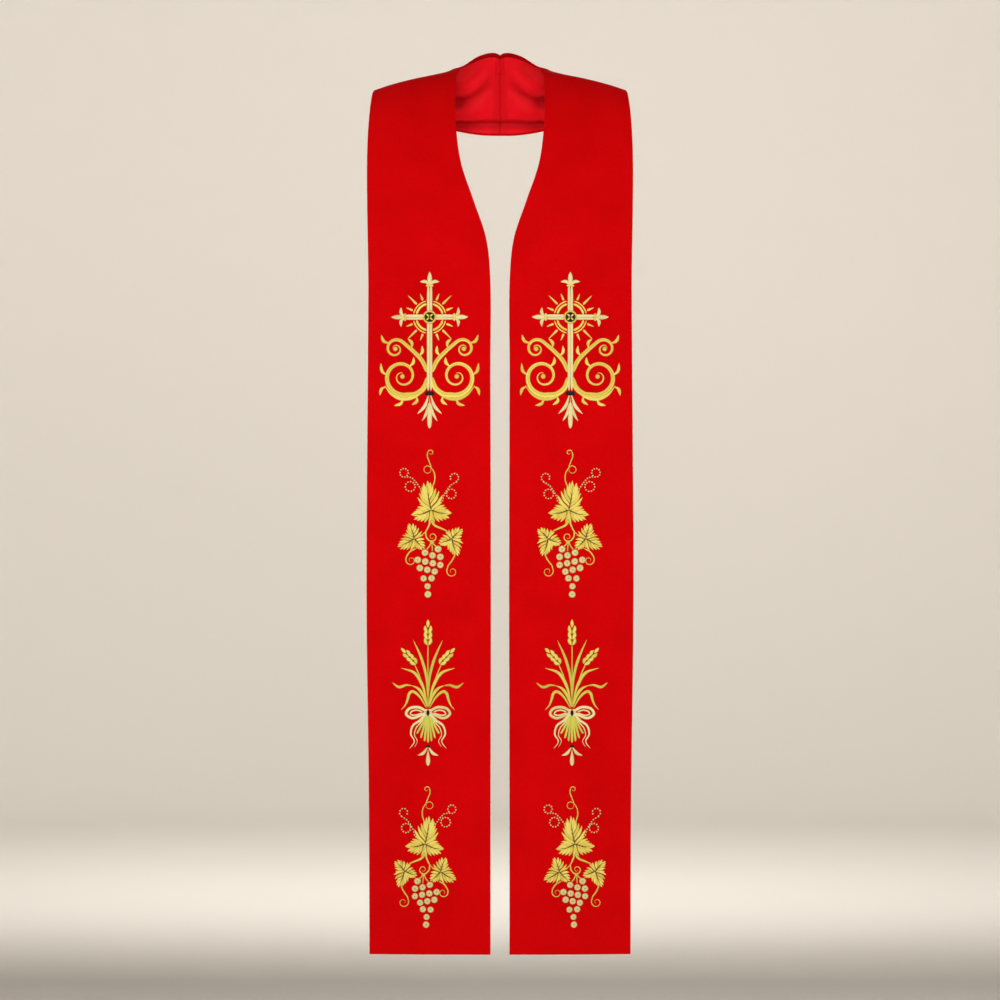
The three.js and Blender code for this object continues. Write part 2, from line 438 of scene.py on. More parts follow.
class Recipe(Wiring):
    """A Geometry Nodes tree with named inputs, which ends in Realize Instances and Set Material."""

    SOCKETS = {float: "NodeSocketFloat", int: "NodeSocketInt", "object": "NodeSocketObject"}

    def __init__(self, name: str, **inputs: Value) -> None:
        """Starts the tree.

        Args:
            name: the tree's name.
            **inputs: each named input's default number, or "object" for one that takes an object.
        """
        super().__init__(bpy.data.node_groups.new(name, "GeometryNodeTree"))
        interface = self.tree.interface
        interface.new_socket("Geometry", in_out="INPUT", socket_type="NodeSocketGeometry")
        interface.new_socket("Geometry", in_out="OUTPUT", socket_type="NodeSocketGeometry")
        self.identifiers = {}
        for label, default in {**inputs, "finish": "material"}.items():
            kind = "NodeSocketMaterial" if default == "material" else self.SOCKETS.get(
                type(default), "NodeSocketObject"
            )
            socket = interface.new_socket(label, in_out="INPUT", socket_type=kind)
            if not isinstance(default, str):
                socket.default_value = default
            self.identifiers[label] = socket.identifier
        self.given = self.add("NodeGroupInput").outputs

    def named(self, name: str, kind: str = "FLOAT") -> Socket:
        """A named attribute of the geometry."""
        return self.out("GeometryNodeInputNamedAttribute", {"Name": name}, data_type=kind)

    def store(self, geometry: Socket, name: str, value: Number) -> Socket:
        """The geometry with a number kept on its points under a name."""
        inputs = {"Geometry": geometry, "Name": name, "Value": value}
        return self.out("GeometryNodeStoreNamedAttribute", inputs, data_type="FLOAT", domain="POINT")

    def position(self) -> Socket:
        """Each point's own position."""
        return self.out("GeometryNodeInputPosition")

    def lay_on_cloth(self, geometry: Socket) -> Socket:
        """Moves a flat design onto the cloth's front.

        The design lies in its own plane, with x across, y up and z its height above the cloth. It is set
        on the inputs centre_x and centre_z, mirrored by side, and each point goes to its height in front
        of the cloth.

        Args:
            geometry: the flat design.

        Returns:
            The design, on the cloth.
        """
        x, y, height = self.split(self.position())
        across = self.math("ADD", self.math("MULTIPLY", x, self.given["side"]), self.given["centre_x"])
        up = self.math("ADD", y, self.given["centre_z"])
        cloth = self.add("GeometryNodeObjectInfo", {"Object": self.given["cloth"]}).outputs["Geometry"]
        ray = {
            "Target Geometry": cloth,
            "Source Position": self.joined(across, -1.0, up),
            "Ray Direction": (0.0, 1.0, 0.0),
            "Ray Length": 2.0,
        }
        hit = self.add("GeometryNodeRaycast", ray).outputs["Hit Position"]
        place = self.joined(across, self.math("SUBTRACT", self.split(hit)[1], height), up)
        return self.out("GeometryNodeSetPosition", {"Geometry": geometry, "Position": place})

    def finish(self, geometry: Socket) -> None:
        """Ends the tree with real geometry, smooth shading and the finish input's material.

        Args:
            geometry: what the tree has made, instances or not.
        """
        real = self.out("GeometryNodeRealizeInstances", {"Geometry": geometry})
        smooth = self.out("GeometryNodeSetShadeSmooth", {"Geometry": real, "Shade Smooth": True})
        dressed = self.add(
            "GeometryNodeSetMaterial", {"Geometry": smooth, "Material": self.given["finish"]}
        )
        self.add("NodeGroupOutput", {0: dressed.outputs[0]})

    def make(self, source: bpy.types.Object, name: str, **values: Value) -> bpy.types.Object:
        """Runs the tree on an object and keeps the result as a plain mesh.

        Args:
            source: the curve or mesh object to start from, which is removed.
            name: the new piece's name.
            **values: the tree's named inputs.

        Returns:
            The new mesh object, at the origin, with faces that point outwards.
        """
        modifier = source.modifiers.new(self.tree.name, "NODES")
        modifier.node_group = self.tree
        for label, value in values.items():
            modifier[self.identifiers[label]] = value
        source.update_tag()
        depsgraph = bpy.context.evaluated_depsgraph_get()
        evaluated = source.evaluated_get(depsgraph)
        mesh = bpy.data.meshes.new_from_object(
            evaluated, preserve_all_data_layers=True, depsgraph=depsgraph
        )
        source.modifiers.remove(modifier)
        bpy.data.objects.remove(source, do_unlink=True)
        point_outwards(mesh)
        mesh.name = name
        return add_object(name, mesh)


def point_outwards(mesh: bpy.types.Mesh) -> None:
    """Turns the faces of a closed mesh round where they point inwards.

    Args:
        mesh: a closed mesh, which is changed in place.
    """
    mesh.calc_loop_triangles()
    places = np.empty(len(mesh.vertices) * 3)
    mesh.vertices.foreach_get("co", places)
    corners = np.empty(len(mesh.loop_triangles) * 3, np.int32)
    mesh.loop_triangles.foreach_get("vertices", corners)
    places = places.reshape(-1, 3)
    a, b, c = (places[corners.reshape(-1, 3)[:, i]] for i in range(3))
    if np.einsum("ij,ij->i", a, np.cross(b, c)).sum() < 0:
        mesh.flip_normals()


def add_object(name: str, data: bpy.types.ID) -> bpy.types.Object:
    """Puts data into the scene as a new object at the origin.

    Args:
        name: the object's name.
        data: its mesh, curve, light or camera.

    Returns:
        The new object.
    """
    made = bpy.data.objects.new(name, data)
    bpy.context.scene.collection.objects.link(made)
    return made


# Finishes


def opaque(colour: Colour) -> tuple[float, float, float, float]:
    """A colour with full alpha."""
    return (*colour, 1.0)


class Shader(Wiring):
    """A material under construction, around one Principled shader."""

    def __init__(self, name: str, **constants: Value) -> None:
        """Starts the material.

        Args:
            name: the material's name.
            **constants: the shader's own values by socket name, with _ for a space.
        """
        self.material = bpy.data.materials.new(name)
        self.material.use_nodes = True
        super().__init__(self.material.node_tree)
        self.tree.nodes.clear()
        values = {label.replace("_", " "): value for label, value in constants.items()}
        self.surface = self.add("ShaderNodeBsdfPrincipled", values)
        self.add("ShaderNodeOutputMaterial", {"Surface": self.surface.outputs[0]})

    def mix(self, factor: Number, first: Value, second: Value) -> Socket:
        """A colour between two, by a factor from 0 to 1."""
        return self.out("ShaderNodeMixRGB", {0: factor, 1: first, 2: second})

    def noise(self, vector: Socket, scale: float, detail: float = 2.0, roughness: float = 0.5) -> Socket:
        """A soft random number over space."""
        inputs = {"Vector": vector, "Scale": scale, "Detail": detail, "Roughness": roughness}
        return self.out("ShaderNodeTexNoise", inputs)

    def waves(self, value: Number, pitch: float) -> Socket:
        """A sine of the value, with a wave each pitch."""
        return self.math("SINE", self.math("MULTIPLY", value, 2 * math.pi / pitch))

    def named(self, name: str) -> Socket:
        """A number kept on the mesh under a name."""
        return self.add("ShaderNodeAttribute", attribute_name=name).outputs["Fac"]

    def bump(self, height: Number, strength: float, distance: float) -> None:
        """Gives the shader its relief."""
        inputs = {"Height": height, "Strength": strength, "Distance": distance}
        self.feed(self.surface.inputs["Normal"], self.out("ShaderNodeBump", inputs))

    def cloth_place(self) -> tuple[Socket, Socket, Socket]:
        """The UV vector of a band's cloth in metres, then its distance across and its length along.

        Returns:
            Those three outputs, in that order.
        """
        vector = self.out("ShaderNodeUVMap", uv_map=CLOTH_MAP)
        across, down, _ = self.split(vector)
        return vector, across, down


CLOTH_MAP = "Cloth"  # the UV map of the bands, in metres across and along


@dataclass(frozen=True)
class Crepe:
    """Matt crepe: a fine plain weave with slightly uneven yarn."""

    name: str = "red_crepe"
    colour: Colour = (0.640, 0.0012, 0.0026)
    deep: Colour = (0.520, 0.0008, 0.0016)
    # painted shade: the darker red that the cloth turns to on the turned edge at the nape
    hollow_colour: Colour = (0.300, 0.0004, 0.0010)
    yarn_pitch: float = 0.0007
    slub_size: float = 0.0035

    def material(self) -> bpy.types.Material:
        """Builds the material.

        Returns:
            The material.
        """
        shader = Shader(
            self.name,
            Roughness=0.86,
            Specular_IOR_Level=0.10,
            Specular_Tint=opaque((1.0, 0.10, 0.10)),
            Sheen_Weight=0.10,
            Sheen_Roughness=0.5,
            Sheen_Tint=opaque((1.0, 0.05, 0.06)),
        )
        vector, across, down = shader.cloth_place()
        yarns = shader.math(
            "MULTIPLY", shader.waves(across, self.yarn_pitch), shader.waves(down, self.yarn_pitch)
        )
        slubs = shader.noise(vector, 1 / self.slub_size, 4.0, 0.65)
        cloudy = shader.noise(vector, 14.0, 3.0, 0.55)
        shade = shader.math(
            "ADD", shader.math("MULTIPLY", slubs, 0.45), shader.math("MULTIPLY", cloudy, 0.55)
        )
        colour = shader.mix(
            shader.span(shade, 0.32, 0.66, 1.0, 0.0), opaque(self.colour), opaque(self.deep)
        )
        # painted shade: darkens the colour where the mesh's shade attribute says
        colour = shader.mix(shader.named("hollow"), colour, opaque(self.hollow_colour))
        shader.feed(shader.surface.inputs["Base Color"], colour)
        relief = shader.math(
            "ADD", shader.math("MULTIPLY", yarns, 0.35), shader.math("MULTIPLY", slubs, 1.3)
        )
        shader.bump(relief, 0.45, 0.00012)
        return shader.material


@dataclass(frozen=True)
class Satin:
    """Soft lining satin: smooth, with a fine diagonal twill and a gentle lustre."""

    name: str = "red_satin"
    colour: Colour = (0.780, 0.0066, 0.0150)
    deep: Colour = (0.710, 0.0054, 0.0120)
    # painted shade: the darker red that the satin turns to in the troughs of the nape
    hollow_colour: Colour = (0.290, 0.0006, 0.0020)
    twill_pitch: float = 0.0006
    pressed: float = 0.0085  # width each side of the seam: duller satin over the seam allowance, painted darker
    pressed_colour: Colour = (0.640, 0.0048, 0.0110)

    def material(self) -> bpy.types.Material:
        """Builds the material.

        Returns:
            The material.
        """
        shader = Shader(
            self.name,
            Roughness=0.42,
            Specular_IOR_Level=0.30,
            Specular_Tint=opaque((1.0, 0.10, 0.14)),
            Sheen_Weight=0.08,
            Sheen_Roughness=0.35,
            Sheen_Tint=opaque((1.0, 0.12, 0.16)),
        )
        vector, across, down = shader.cloth_place()
        twill = shader.waves(shader.math("ADD", across, down), self.twill_pitch)
        soft = shader.noise(vector, 38.0, 3.0, 0.5)
        fine = shader.noise(vector, 420.0, 2.0, 0.5)
        colour = shader.mix(shader.span(soft, 0.30, 0.70, 0.0, 1.0), opaque(self.deep), opaque(self.colour))
        # painted shade: a darker band over the seam allowance, standing in for the pressed satin's duller
        # lustre
        pressed = shader.span(down, self.pressed - 0.0015, self.pressed + 0.0015, 0.0, 1.0)
        colour = shader.mix(pressed, opaque(self.pressed_colour), colour)
        # painted shade: darkens the colour where the mesh's shade attribute says
        colour = shader.mix(shader.named("hollow"), colour, opaque(self.hollow_colour))
        shader.feed(shader.surface.inputs["Base Color"], colour)
        relief = shader.math(
            "ADD", shader.math("MULTIPLY", twill, 0.25), shader.math("MULTIPLY", fine, 0.6)
        )
        shader.bump(shader.math("ADD", relief, shader.math("MULTIPLY", soft, 1.6)), 0.35, 0.00016)
        return shader.material


@dataclass(frozen=True)
class ThreadFinish:
    """Lustrous embroidery thread laid side by side.

    The mesh says how far along a stroke each point is, how high up its crown, and a random shade for
    the stroke.
    """

    name: str
    colour: Colour
    light: Colour
    # edge: the dark outline of each stroke, partly painted shade down its low sides
    edge: Colour
    thread_pitch: float = 0.00045
    roughness: float = 0.36
    gloss: float = 0.45
    sheen: float = 0.12
    rim: float = 0.42  # how high up its crown the dark edge ends: outline, and painted shade on the low sides
    eye: float = 0.0  # radius of the darker ring of stitches in the middle of a berry

    def material(self) -> bpy.types.Material:
        """Builds the material.

        Returns:
            The material.
        """
        shader = Shader(
            self.name,
            Roughness=self.roughness,
            Specular_IOR_Level=self.gloss,
            Sheen_Weight=self.sheen,
            Sheen_Roughness=0.35,
        )
        along, crown, shade = (shader.named(name) for name in ("along", "crown", "shade"))
        place = shader.add("ShaderNodeTexCoord").outputs["Object"]
        # Partly painted highlight: stripes at the thread pitch lighten the colour; streaks and shade vary it
        # at random.
        threads = shader.waves(along, self.thread_pitch)
        streaks = shader.noise(place, 900.0, 2.0, 0.6)
        lit = shader.math(
            "ADD", shader.math("MULTIPLY", threads, 0.16), shader.math("MULTIPLY", streaks, 0.5)
        )
        lit = shader.math("ADD", lit, shader.math("MULTIPLY", shade, 0.5))
        colour = shader.mix(shader.span(lit, 0.15, 0.85, 0.0, 1.0), opaque(self.colour), opaque(self.light))
        # Partly painted shade: the colour darkens to edge down the low sides of each stroke's crown.
        colour = shader.mix(
            shader.span(crown, self.rim - 0.2, self.rim + 0.2, 0.0, 1.0), opaque(self.edge), colour
        )
        if self.eye:
            ring = shader.math("ABSOLUTE", shader.math("SUBTRACT", along, self.eye))
            colour = shader.mix(shader.span(ring, 0.0001, 0.0007, 0.35, 1.0), opaque(self.edge), colour)
        shader.feed(shader.surface.inputs["Base Color"], colour)
        shader.bump(shader.math("ADD", threads, streaks), 0.5, 0.00012)
        return shader.material


class Thread(Enum):
    """The embroidery threads: a finish, and the record's slot that it is."""

    GOLD = (
        ThreadFinish("gold_thread", (0.70, 0.50, 0.050), (0.95, 0.80, 0.160), (0.110, 0.066, 0.008)),
        "gold_thread",
    )
    STEM = (
        ThreadFinish("green_gold_thread", (0.50, 0.46, 0.040), (0.74, 0.70, 0.100), (0.120, 0.085, 0.012)),
        "gold_thread",
    )
    PALE = (
        ThreadFinish("pale_gold_thread", (0.70, 0.56, 0.200), (0.92, 0.82, 0.430), (0.170, 0.100, 0.030)),
        "pale_thread",
    )
    BERRY = (
        ThreadFinish(
            "berry_thread", (0.70, 0.60, 0.220), (0.96, 0.88, 0.460), (
                0.085, 0.060, 0.018
            ), rim=0.34, eye=0.0006
        ),
        "pale_thread",
    )
    CREAM = (
        ThreadFinish("cream_thread", (0.62, 0.70, 0.280), (0.82, 0.90, 0.440), (0.420, 0.460, 0.160)),
        "pale_thread",
    )
    DARK = (
        ThreadFinish("vein_thread", (0.055, 0.026, 0.004), (0.10, 0.052, 0.007), (0.030, 0.013, 0.002)),
        "gold_thread",
    )
    # Partly painted shade: an olive underlay under leaves and grains, dark so that the gaps show as shade.
    OLIVE = (
        ThreadFinish("olive_thread", (0.330, 0.230, 0.018), (0.46, 0.330, 0.032), (0.120, 0.065, 0.008)),
        "gold_thread",
    )
    BLACK = (
        ThreadFinish(
            "black_thread", (
                0.004, 0.003, 0.003
            ), (0.012, 0.010, 0.010), (0.003, 0.002, 0.002), gloss=0.22, sheen=0.0
        ),
        "black_thread",
    )
    RED = (
        ThreadFinish("red_thread", (0.52, 0.002, 0.005), (0.68, 0.010, 0.015), (0.34, 0.001, 0.002)),
        "outer_cloth",
    )

    def __init__(self, thread_finish: ThreadFinish, slot: str) -> None:
        """Keeps the finish and the slot's name."""
        self.thread_finish = thread_finish
        self.slot = slot

    @property
    def padding(self) -> float:
        """How high a satin stroke stands, as a share of its half width. Olive lies flat under leaves."""
        return 0.05 if self is Thread.OLIVE else 0.30

    @property
    def material(self) -> bpy.types.Material:
        """The thread's material, made once."""
        made = bpy.data.materials.get(self.thread_finish.name)
        return made or self.thread_finish.material()


@dataclass(frozen=True)
class Plaster:
    """The matt pale paint of the studio's floor and backdrop."""

    name: str = "studio_paint"
    colour: Colour = (0.80, 0.757, 0.700)

    def material(self) -> bpy.types.Material:
        """Builds the material.

        Returns:
            The material.
        """
        shader = Shader(self.name, Roughness=0.9, Specular_IOR_Level=0.1)
        place = shader.add("ShaderNodeTexCoord").outputs["Object"]
        cloudy = shader.span(shader.noise(place, 0.35, 1.0), 0.3, 0.7, 0.0, 1.0)
        lighter = tuple(1.04 * channel for channel in self.colour)
        shader.feed(
            shader.surface.inputs["Base Color"], shader.mix(cloudy, opaque(self.colour), opaque(lighter))
        )
        return shader.material


# Cloth


def soft_drape() -> Recipe:
    """The tree that gives a band its folds: a slow ripple and the creases kept on its mesh.

    Returns:
        The tree, with the ripple's height, size and seed as inputs.
    """
    recipe = Recipe("soft_drape", ripple_height=0.0008, ripple_size=0.12, seed=0.0)
    spot = recipe.scaled(
        recipe.named("face_point", "FLOAT_VECTOR"), recipe.math("DIVIDE", 1.0, recipe.given["ripple_size"])
    )
    noise = recipe.out(
        "ShaderNodeTexNoise",
        {"Vector": spot, "W": recipe.given["seed"], "Scale": 1.0, "Detail": 1.0},
        noise_dimensions="4D",
    )
    ripple = recipe.math(
        "MULTIPLY", recipe.math("SUBTRACT", noise, 0.5),
        recipe.math("MULTIPLY", recipe.given["ripple_height"], 2.0),
    )
    shift = recipe.scaled(
        recipe.named("out", "FLOAT_VECTOR"), recipe.math("ADD", ripple, recipe.named("fold"))
    )
    recipe.finish(recipe.out("GeometryNodeSetPosition", {"Geometry": recipe.given[0], "Offset": shift}))
    return recipe


@dataclass
class BandCloth:
    """What the outer cloth and the lining share: both are closed shells swept along the band's form.

    A shell is a closed outline of corners (distance from the neck edge, depth under the face), placed at many
    lengths between the seam and the hem.
    """

    form: BandForm
    side: Side
    drape: Recipe
    outer_cloth: float = 0.0012  # thickness of the outer cloth with its interfacing
    lining_cloth: float = 0.0010
    gap: float = 0.0003
    seam_share: float = 0.35  # how much of the thickness is left at the very end of a piece
    seam_gap: float = 0.00015  # how far the two halves close up on each other at the seam
    turned: float = 0.0045  # outer cloth that shows on the lining side
    turned_at_nape: float = 0.0019  # the same at the lower edge behind the neck, where the lining rolls over
    neck_step: float = 0.0022  # between rings round the neck and over the shoulder
    front_step: float = 0.0055  # between rings down the front
    neck_end: float = 0.44  # length from the seam where the fronts start

    NOTCH_DEPTH = 0.0016  # how far the neck edge dips where the halves meet
    NOTCH_LENGTH = 0.0035  # how far along the band the dip reaches
    NOTCH_WIDTH = 0.010  # how far down from the neck edge it reaches
    CLOSING = 0.004  # how far along the band the halves close up on each other
    SEED = 3.0
    CLOSE_EDGE = 0.026  # width at the outer edge where places across are close together

    @property
    def stack(self) -> float:
        """The whole thickness where the edge is turned."""
        return self.outer_cloth + self.gap + self.lining_cloth

    @property
    def roll(self) -> float:
        """The radius of a turned edge."""
        return self.stack / 2

    def turned_outer(self, length: float) -> float:
        """The turned edge's width along the outer edge, at a length from the seam."""
        ease = float(smoothstep(np.array((length - 0.12) / 0.10)))
        return self.turned_at_nape + (self.turned - self.turned_at_nape) * ease

    def ring_lengths(self, end: float) -> Array:
        """Where the rings lie, close together at both ends, where the cloth rounds off.

        Args:
            end: length from the seam where the piece ends.

        Returns:
            Lengths from the seam, in order.
        """
        rounding = self.roll * (1 - np.cos(np.radians([0, 25, 50, 70, 90])))
        neck = np.arange(rounding[-1] + self.neck_step, self.neck_end, self.neck_step)
        fronts = np.arange(self.neck_end, end - rounding[-1] - self.front_step / 2, self.front_step)
        return np.concatenate([rounding, neck, fronts, end - rounding[::-1]])

    def stations(self, low: float, high: float) -> Array:
        """Places across the cloth, close together near its outer edge, where the narrow folds lie.

        Args:
            low: the first distance from the neck edge.
            high: the last.

        Returns:
            The distances, in order.
        """
        middle = high - self.CLOSE_EDGE
        return np.concatenate([np.linspace(low, middle, 28)[:-1], np.linspace(middle, high, 18)])

    def squeeze(self, length: float, end: float) -> float:
        """The share of a ring's depth that is left, where the seam and the hem are rounded off.

        Args:
            length: the ring's length from the seam.
            end: length from the seam where the piece ends.

        Returns:
            A share from seam_share to 1.
        """
        nearness = min(length, end - length)
        if nearness >= self.roll:
            return 1.0
        rounded = math.sqrt(1 - (1 - nearness / self.roll) ** 2)
        return self.seam_share + (1 - self.seam_share) * rounded

    def outline(self, width: float, length: float) -> Array:
        """The closed outline at one length: distance, depth, and 1 where a lining's slack counts."""
        raise NotImplementedError

    def swept(self, name: str, end: float, finish: bpy.types.Material) -> bpy.types.Object:
        """Sweeps the outline along the form and drapes it.

        Args:
            name: the piece's name.
            end: length from the seam where the piece ends.
            finish: its material.

        Returns:
            The finished piece.
        """
        lengths = self.ring_lengths(end)
        along = self.form.along(lengths)
        widths = self.form.width(along)
        outlines = np.stack([self.outline(w, v) for w, v in zip(widths, lengths)])
        middle = self.outer_cloth
        squeeze = np.array([self.squeeze(v, end) for v in lengths])[:, None]
        depth = middle + (outlines[..., 1] - middle) * squeeze
        rings, count = depth.shape
        where = np.repeat(along[:, None], count, axis=1)
        share = np.clip(outlines[..., 0] / widths[:, None], 0.0, 1.0)
        face = self.form.face_point(where, share)
        out = self.form.outwards(self.form.face_point, where, share)
        long = np.repeat(lengths[:, None], count, axis=1)
        fold = sum(crease.at(long, outlines[..., 0]) for crease in NECK_CREASES + FRONT_CREASES[self.side])
        fold = fold - self.slack(long, outlines[..., 0], widths[:, None]) * outlines[..., 2]
        # painted shade, kept on the mesh for the finish to darken the colour
        hollow = self.hollow(long, outlines)
        dip = np.exp(-((long / self.NOTCH_LENGTH) ** 2) - (outlines[..., 0] / self.NOTCH_WIDTH) ** 2)
        notch = self.NOTCH_DEPTH * dip
        places = face - out * depth[..., None]
        places[..., 2] -= notch
        places[..., 0] -= self.seam_gap * np.exp(-((long / self.CLOSING) ** 2))
        mirror = np.array([self.side.value, 1, 1])
        mesh = grid_mesh(name, (places * mirror).reshape(-1, 3), rings, count, self.side is Side.RIGHT)
        keep_attribute(mesh, "face_point", (face * mirror).reshape(-1, 3))
        keep_attribute(mesh, "out", (out * mirror).reshape(-1, 3))
        keep_attribute(mesh, "fold", fold.ravel())
        keep_attribute(mesh, "hollow", hollow.ravel())
        keep_uv(mesh, np.stack([outlines[..., 0], long], axis=-1).reshape(-1, 2))
        return self.drape.make(add_object(name, mesh), name, finish=finish, seed=self.SEED)

    def slack(self, length: Array, distance: Array, width: Array) -> Array:
        """How far the lining stands off towards the wearer. The outer cloth has none."""
        return np.zeros_like(length)

    def hollow(self, length: Array, outlines: Array) -> Array:
        """How strongly painted shade darkens the cloth, from 0 to 1, in folds and on turned edges; not dye.

        Args:
            length: each point's length from the seam.
            outlines: the outlines of all the rings.

        Returns:
            One number for each point.
        """
        raise NotImplementedError

    def flat(self) -> tuple[float, float, float]:
        """The width, length and area of what shows of the cut: all of the band, for the outer cloth."""
        return self.form.widest, self.form.length, self.form.area

    def declare(self, piece: bpy.types.Object, node: str, slot: str) -> None:
        """Attaches the piece to the body and hides the node that it stands for. Its cut is worked out but not
        used.

        Args:
            piece: the finished cloth.
            node: the node that it stands for.
            slot: the record's slot of its finish. Not used.
        """
        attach(piece, BODY)
        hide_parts(node)
        width, length, area = self.flat()
        LOG.info("%s: %d faces", piece.name, len(piece.data.polygons))


@dataclass
class OuterBand(BandCloth):
    """The outer cloth of one half: its face, and its edges and hem turned to the inside."""

    roll_steps: int = 6

    SHADE = 0.85  # how strongly painted shade darkens the turned edge at the seam
    SHADE_LENGTH = 0.11  # length from the seam over which that fades

    def outline(self, width: float, length: float) -> Array:
        """The face, the outer edge's roll, the inside between the turned edges, and the neck edge's roll.

        Args:
            width: the band's width there.
            length: length from the seam.

        Returns:
            Rows of distance from the neck edge, depth, and 1 where a lining's slack counts.
        """
        roll, stack = self.roll, self.stack
        neck, outer = self.turned, self.turned_outer(length)
        hem_turned = smoothstep(np.array((length - (self.form.length - self.turned - 0.0012)) / 0.0008))
        inside = self.outer_cloth + (stack - self.outer_cloth) * float(hem_turned)
        step = min(0.0004, outer / 5)
        rows = [(d, 0.0) for d in self.stations(roll, width - roll)]
        turn = np.radians(np.linspace(-90, 90, self.roll_steps + 1))[1:-1]
        rows += [(width - roll + roll * math.cos(a), roll + roll * math.sin(a)) for a in turn]
        rows += [(width - roll, stack), (width - outer + step, stack), (width - outer, stack - step)]
        rows += [(d, inside) for d in self.stations(neck + self.gap, width - outer - self.gap)[::-1]]
        rows += [(neck, stack - step), (neck - step, stack), (neck / 2, stack), (roll, stack)]
        rows += [(roll - roll * math.cos(a), roll - roll * math.sin(a)) for a in turn]
        return np.array([(distance, depth, 0.0) for distance, depth in rows])

    def hollow(self, length: Array, outlines: Array) -> Array:
        """Painted shade: the outer cloth darkens on the turned edge along the top of the nape."""
        is_turned = (outlines[..., 0] < self.turned + self.gap) & (outlines[..., 1] > 0.3 * self.stack)
        return np.where(is_turned, self.SHADE * np.exp(-((length / self.SHADE_LENGTH) ** 4)), 0.0)

    def build(self, finish: bpy.types.Material) -> bpy.types.Object:
        """Args:
            finish: the cloth's material.

        Returns:
            The finished piece.
        """
        node = f"outer_{self.side.word}"
        piece = self.swept(f"{node}_cloth", self.form.length, finish)
        self.declare(piece, node, "outer_cloth")
        return piece


@dataclass
class LiningBand(BandCloth):
    """The satin lining of one half, felled to the turned edges and a little slack between them."""

    shoulder: float = 0.0016  # width of the soft dip beside its sewn edge
    slack_depth: float = 0.0006

    SHADE = 0.85  # how strongly painted shade darkens the deepest troughs
    SHADE_DEPTH = 0.0060  # depth of such a trough
    PROUD = 0.0001  # how far the satin stands proud of the turned edges
    DIP = 0.00045  # how far it dips beside its sewn edges

    def outline(self, width: float, length: float) -> Array:
        """The hidden side, then the side that shows, which dips at both sewn edges.

        Args:
            width: the band's width there.
            length: length from the seam.

        Returns:
            Rows of distance from the neck edge, depth, and 1 where a lining's slack counts.
        """
        low = self.turned + 2 * self.gap
        high = width - self.turned_outer(length) - 2 * self.gap
        under, top = self.outer_cloth + self.gap, self.stack
        across = self.stations(low, high)
        rows = [(distance, under, 0.0) for distance in across]
        shown = np.concatenate(
            [[low, low + self.shoulder / 2], across[1:-1], [high - self.shoulder / 2, high]]
        )
        for distance in shown[::-1]:
            dip = (1 - min(distance - low, high - distance, self.shoulder) / self.shoulder) ** 2
            rows.append((distance, top + self.PROUD - self.DIP * dip, 1.0))
        return np.array(rows)

    def slack(self, length: Array, distance: Array, width: Array) -> Array:
        """The lining bellies between its edges, in soft uneven puffs along its length.

        Args:
            length: each point's length from the seam.
            distance: its distance from the neck edge.
            width: the band's width there.

        Returns:
            The distance in metres for each point.
        """
        across = np.sin(np.pi * np.clip(distance / width, 0, 1)) ** 0.7
        puffs = 0.6 + 0.4 * np.sin(length / 0.043) * np.sin(length / 0.071 + 1.3 + distance / 0.05)
        puckers = sum(crease.at(length, distance) for crease in LINING_CREASES)
        return self.slack_depth * across * puffs - puckers * across

    def hollow(self, length: Array, outlines: Array) -> Array:
        """Painted shade: the lining darkens in the troughs of the nape."""
        troughs = sum(crease.at(length, outlines[..., 0]) for crease in NECK_CREASES)
        return self.SHADE * np.clip(troughs / self.SHADE_DEPTH, 0.0, 1.0) ** 2

    def flat(self) -> tuple[float, float, float]:
        """The width, length and area of the lining that shows, between the turned edges and above the hem.

        Returns:
            Width and length in metres, and area in square metres.
        """
        lengths = np.linspace(0.0, self.form.length, 200)
        edges = np.array([self.turned + self.turned_outer(length) for length in lengths])
        area = self.form.area - float(np.trapz(edges, lengths)) - self.turned * self.form.widest
        return self.form.widest - 2 * self.turned, self.form.length - self.turned, area

    def build(self, finish: bpy.types.Material) -> bpy.types.Object:
        """Args:
            finish: the cloth's material.

        Returns:
            The finished piece.
        """
        node = f"lining_{self.side.word}"
        piece = self.swept(f"{node}_satin", self.form.length - self.turned - 2 * self.gap, finish)
        self.declare(piece, node, "lining_satin")
        return piece


def grid_mesh(name: str, places: Array, rings: int, count: int, is_mirrored: bool) -> bpy.types.Mesh:
    """A closed tube through rings of points, with flat ends.

    Args:
        name: the mesh's name.
        places: the points, ring after ring.
        rings: how many rings there are.
        count: points in a ring.
        is_mirrored: True where the points are a mirror image, so that the faces still point outwards.

    Returns:
        The mesh.
    """
    ring, corner = np.meshgrid(np.arange(rings - 1), np.arange(count), indexing="ij")
    a = (ring * count + corner).ravel()
    b = (ring * count + (corner + 1) % count).ravel()
    quads = np.stack([a, a + count, b + count, b], axis=1)
    ends = [list(range(count)), list(range((rings - 1) * count, rings * count))[::-1]]
    faces = quads.tolist() + ends
    if is_mirrored:
        faces = [face[::-1] for face in faces]
    mesh = bpy.data.meshes.new(name)
    mesh.from_pydata(places.tolist(), [], faces)
    return mesh


def keep_attribute(mesh: bpy.types.Mesh, name: str, values: Array) -> None:
    """Keeps a number or a vector on each point of a mesh.

    Args:
        mesh: the mesh.
        name: the attribute's name.
        values: a number, or a row of three, for each point.
    """
    is_vector = values.ndim == 2
    layer = mesh.attributes.new(name, "FLOAT_VECTOR" if is_vector else "FLOAT", "POINT")
    layer.data.foreach_set("vector" if is_vector else "value", values.astype(np.float32).ravel())


def keep_uv(mesh: bpy.types.Mesh, values: Array) -> None:
    """Keeps the cloth's own coordinates as a UV map.

    Args:
        mesh: the mesh.
        values: metres across and along the cloth, a row for each point.
    """
    corners = np.empty(len(mesh.loops), np.int32)
    mesh.loops.foreach_get("vertex_index", corners)
    mesh.uv_layers.new(name=CLOTH_MAP).data.foreach_set("uv", values[corners].astype(np.float32).ravel())


# Embroidery


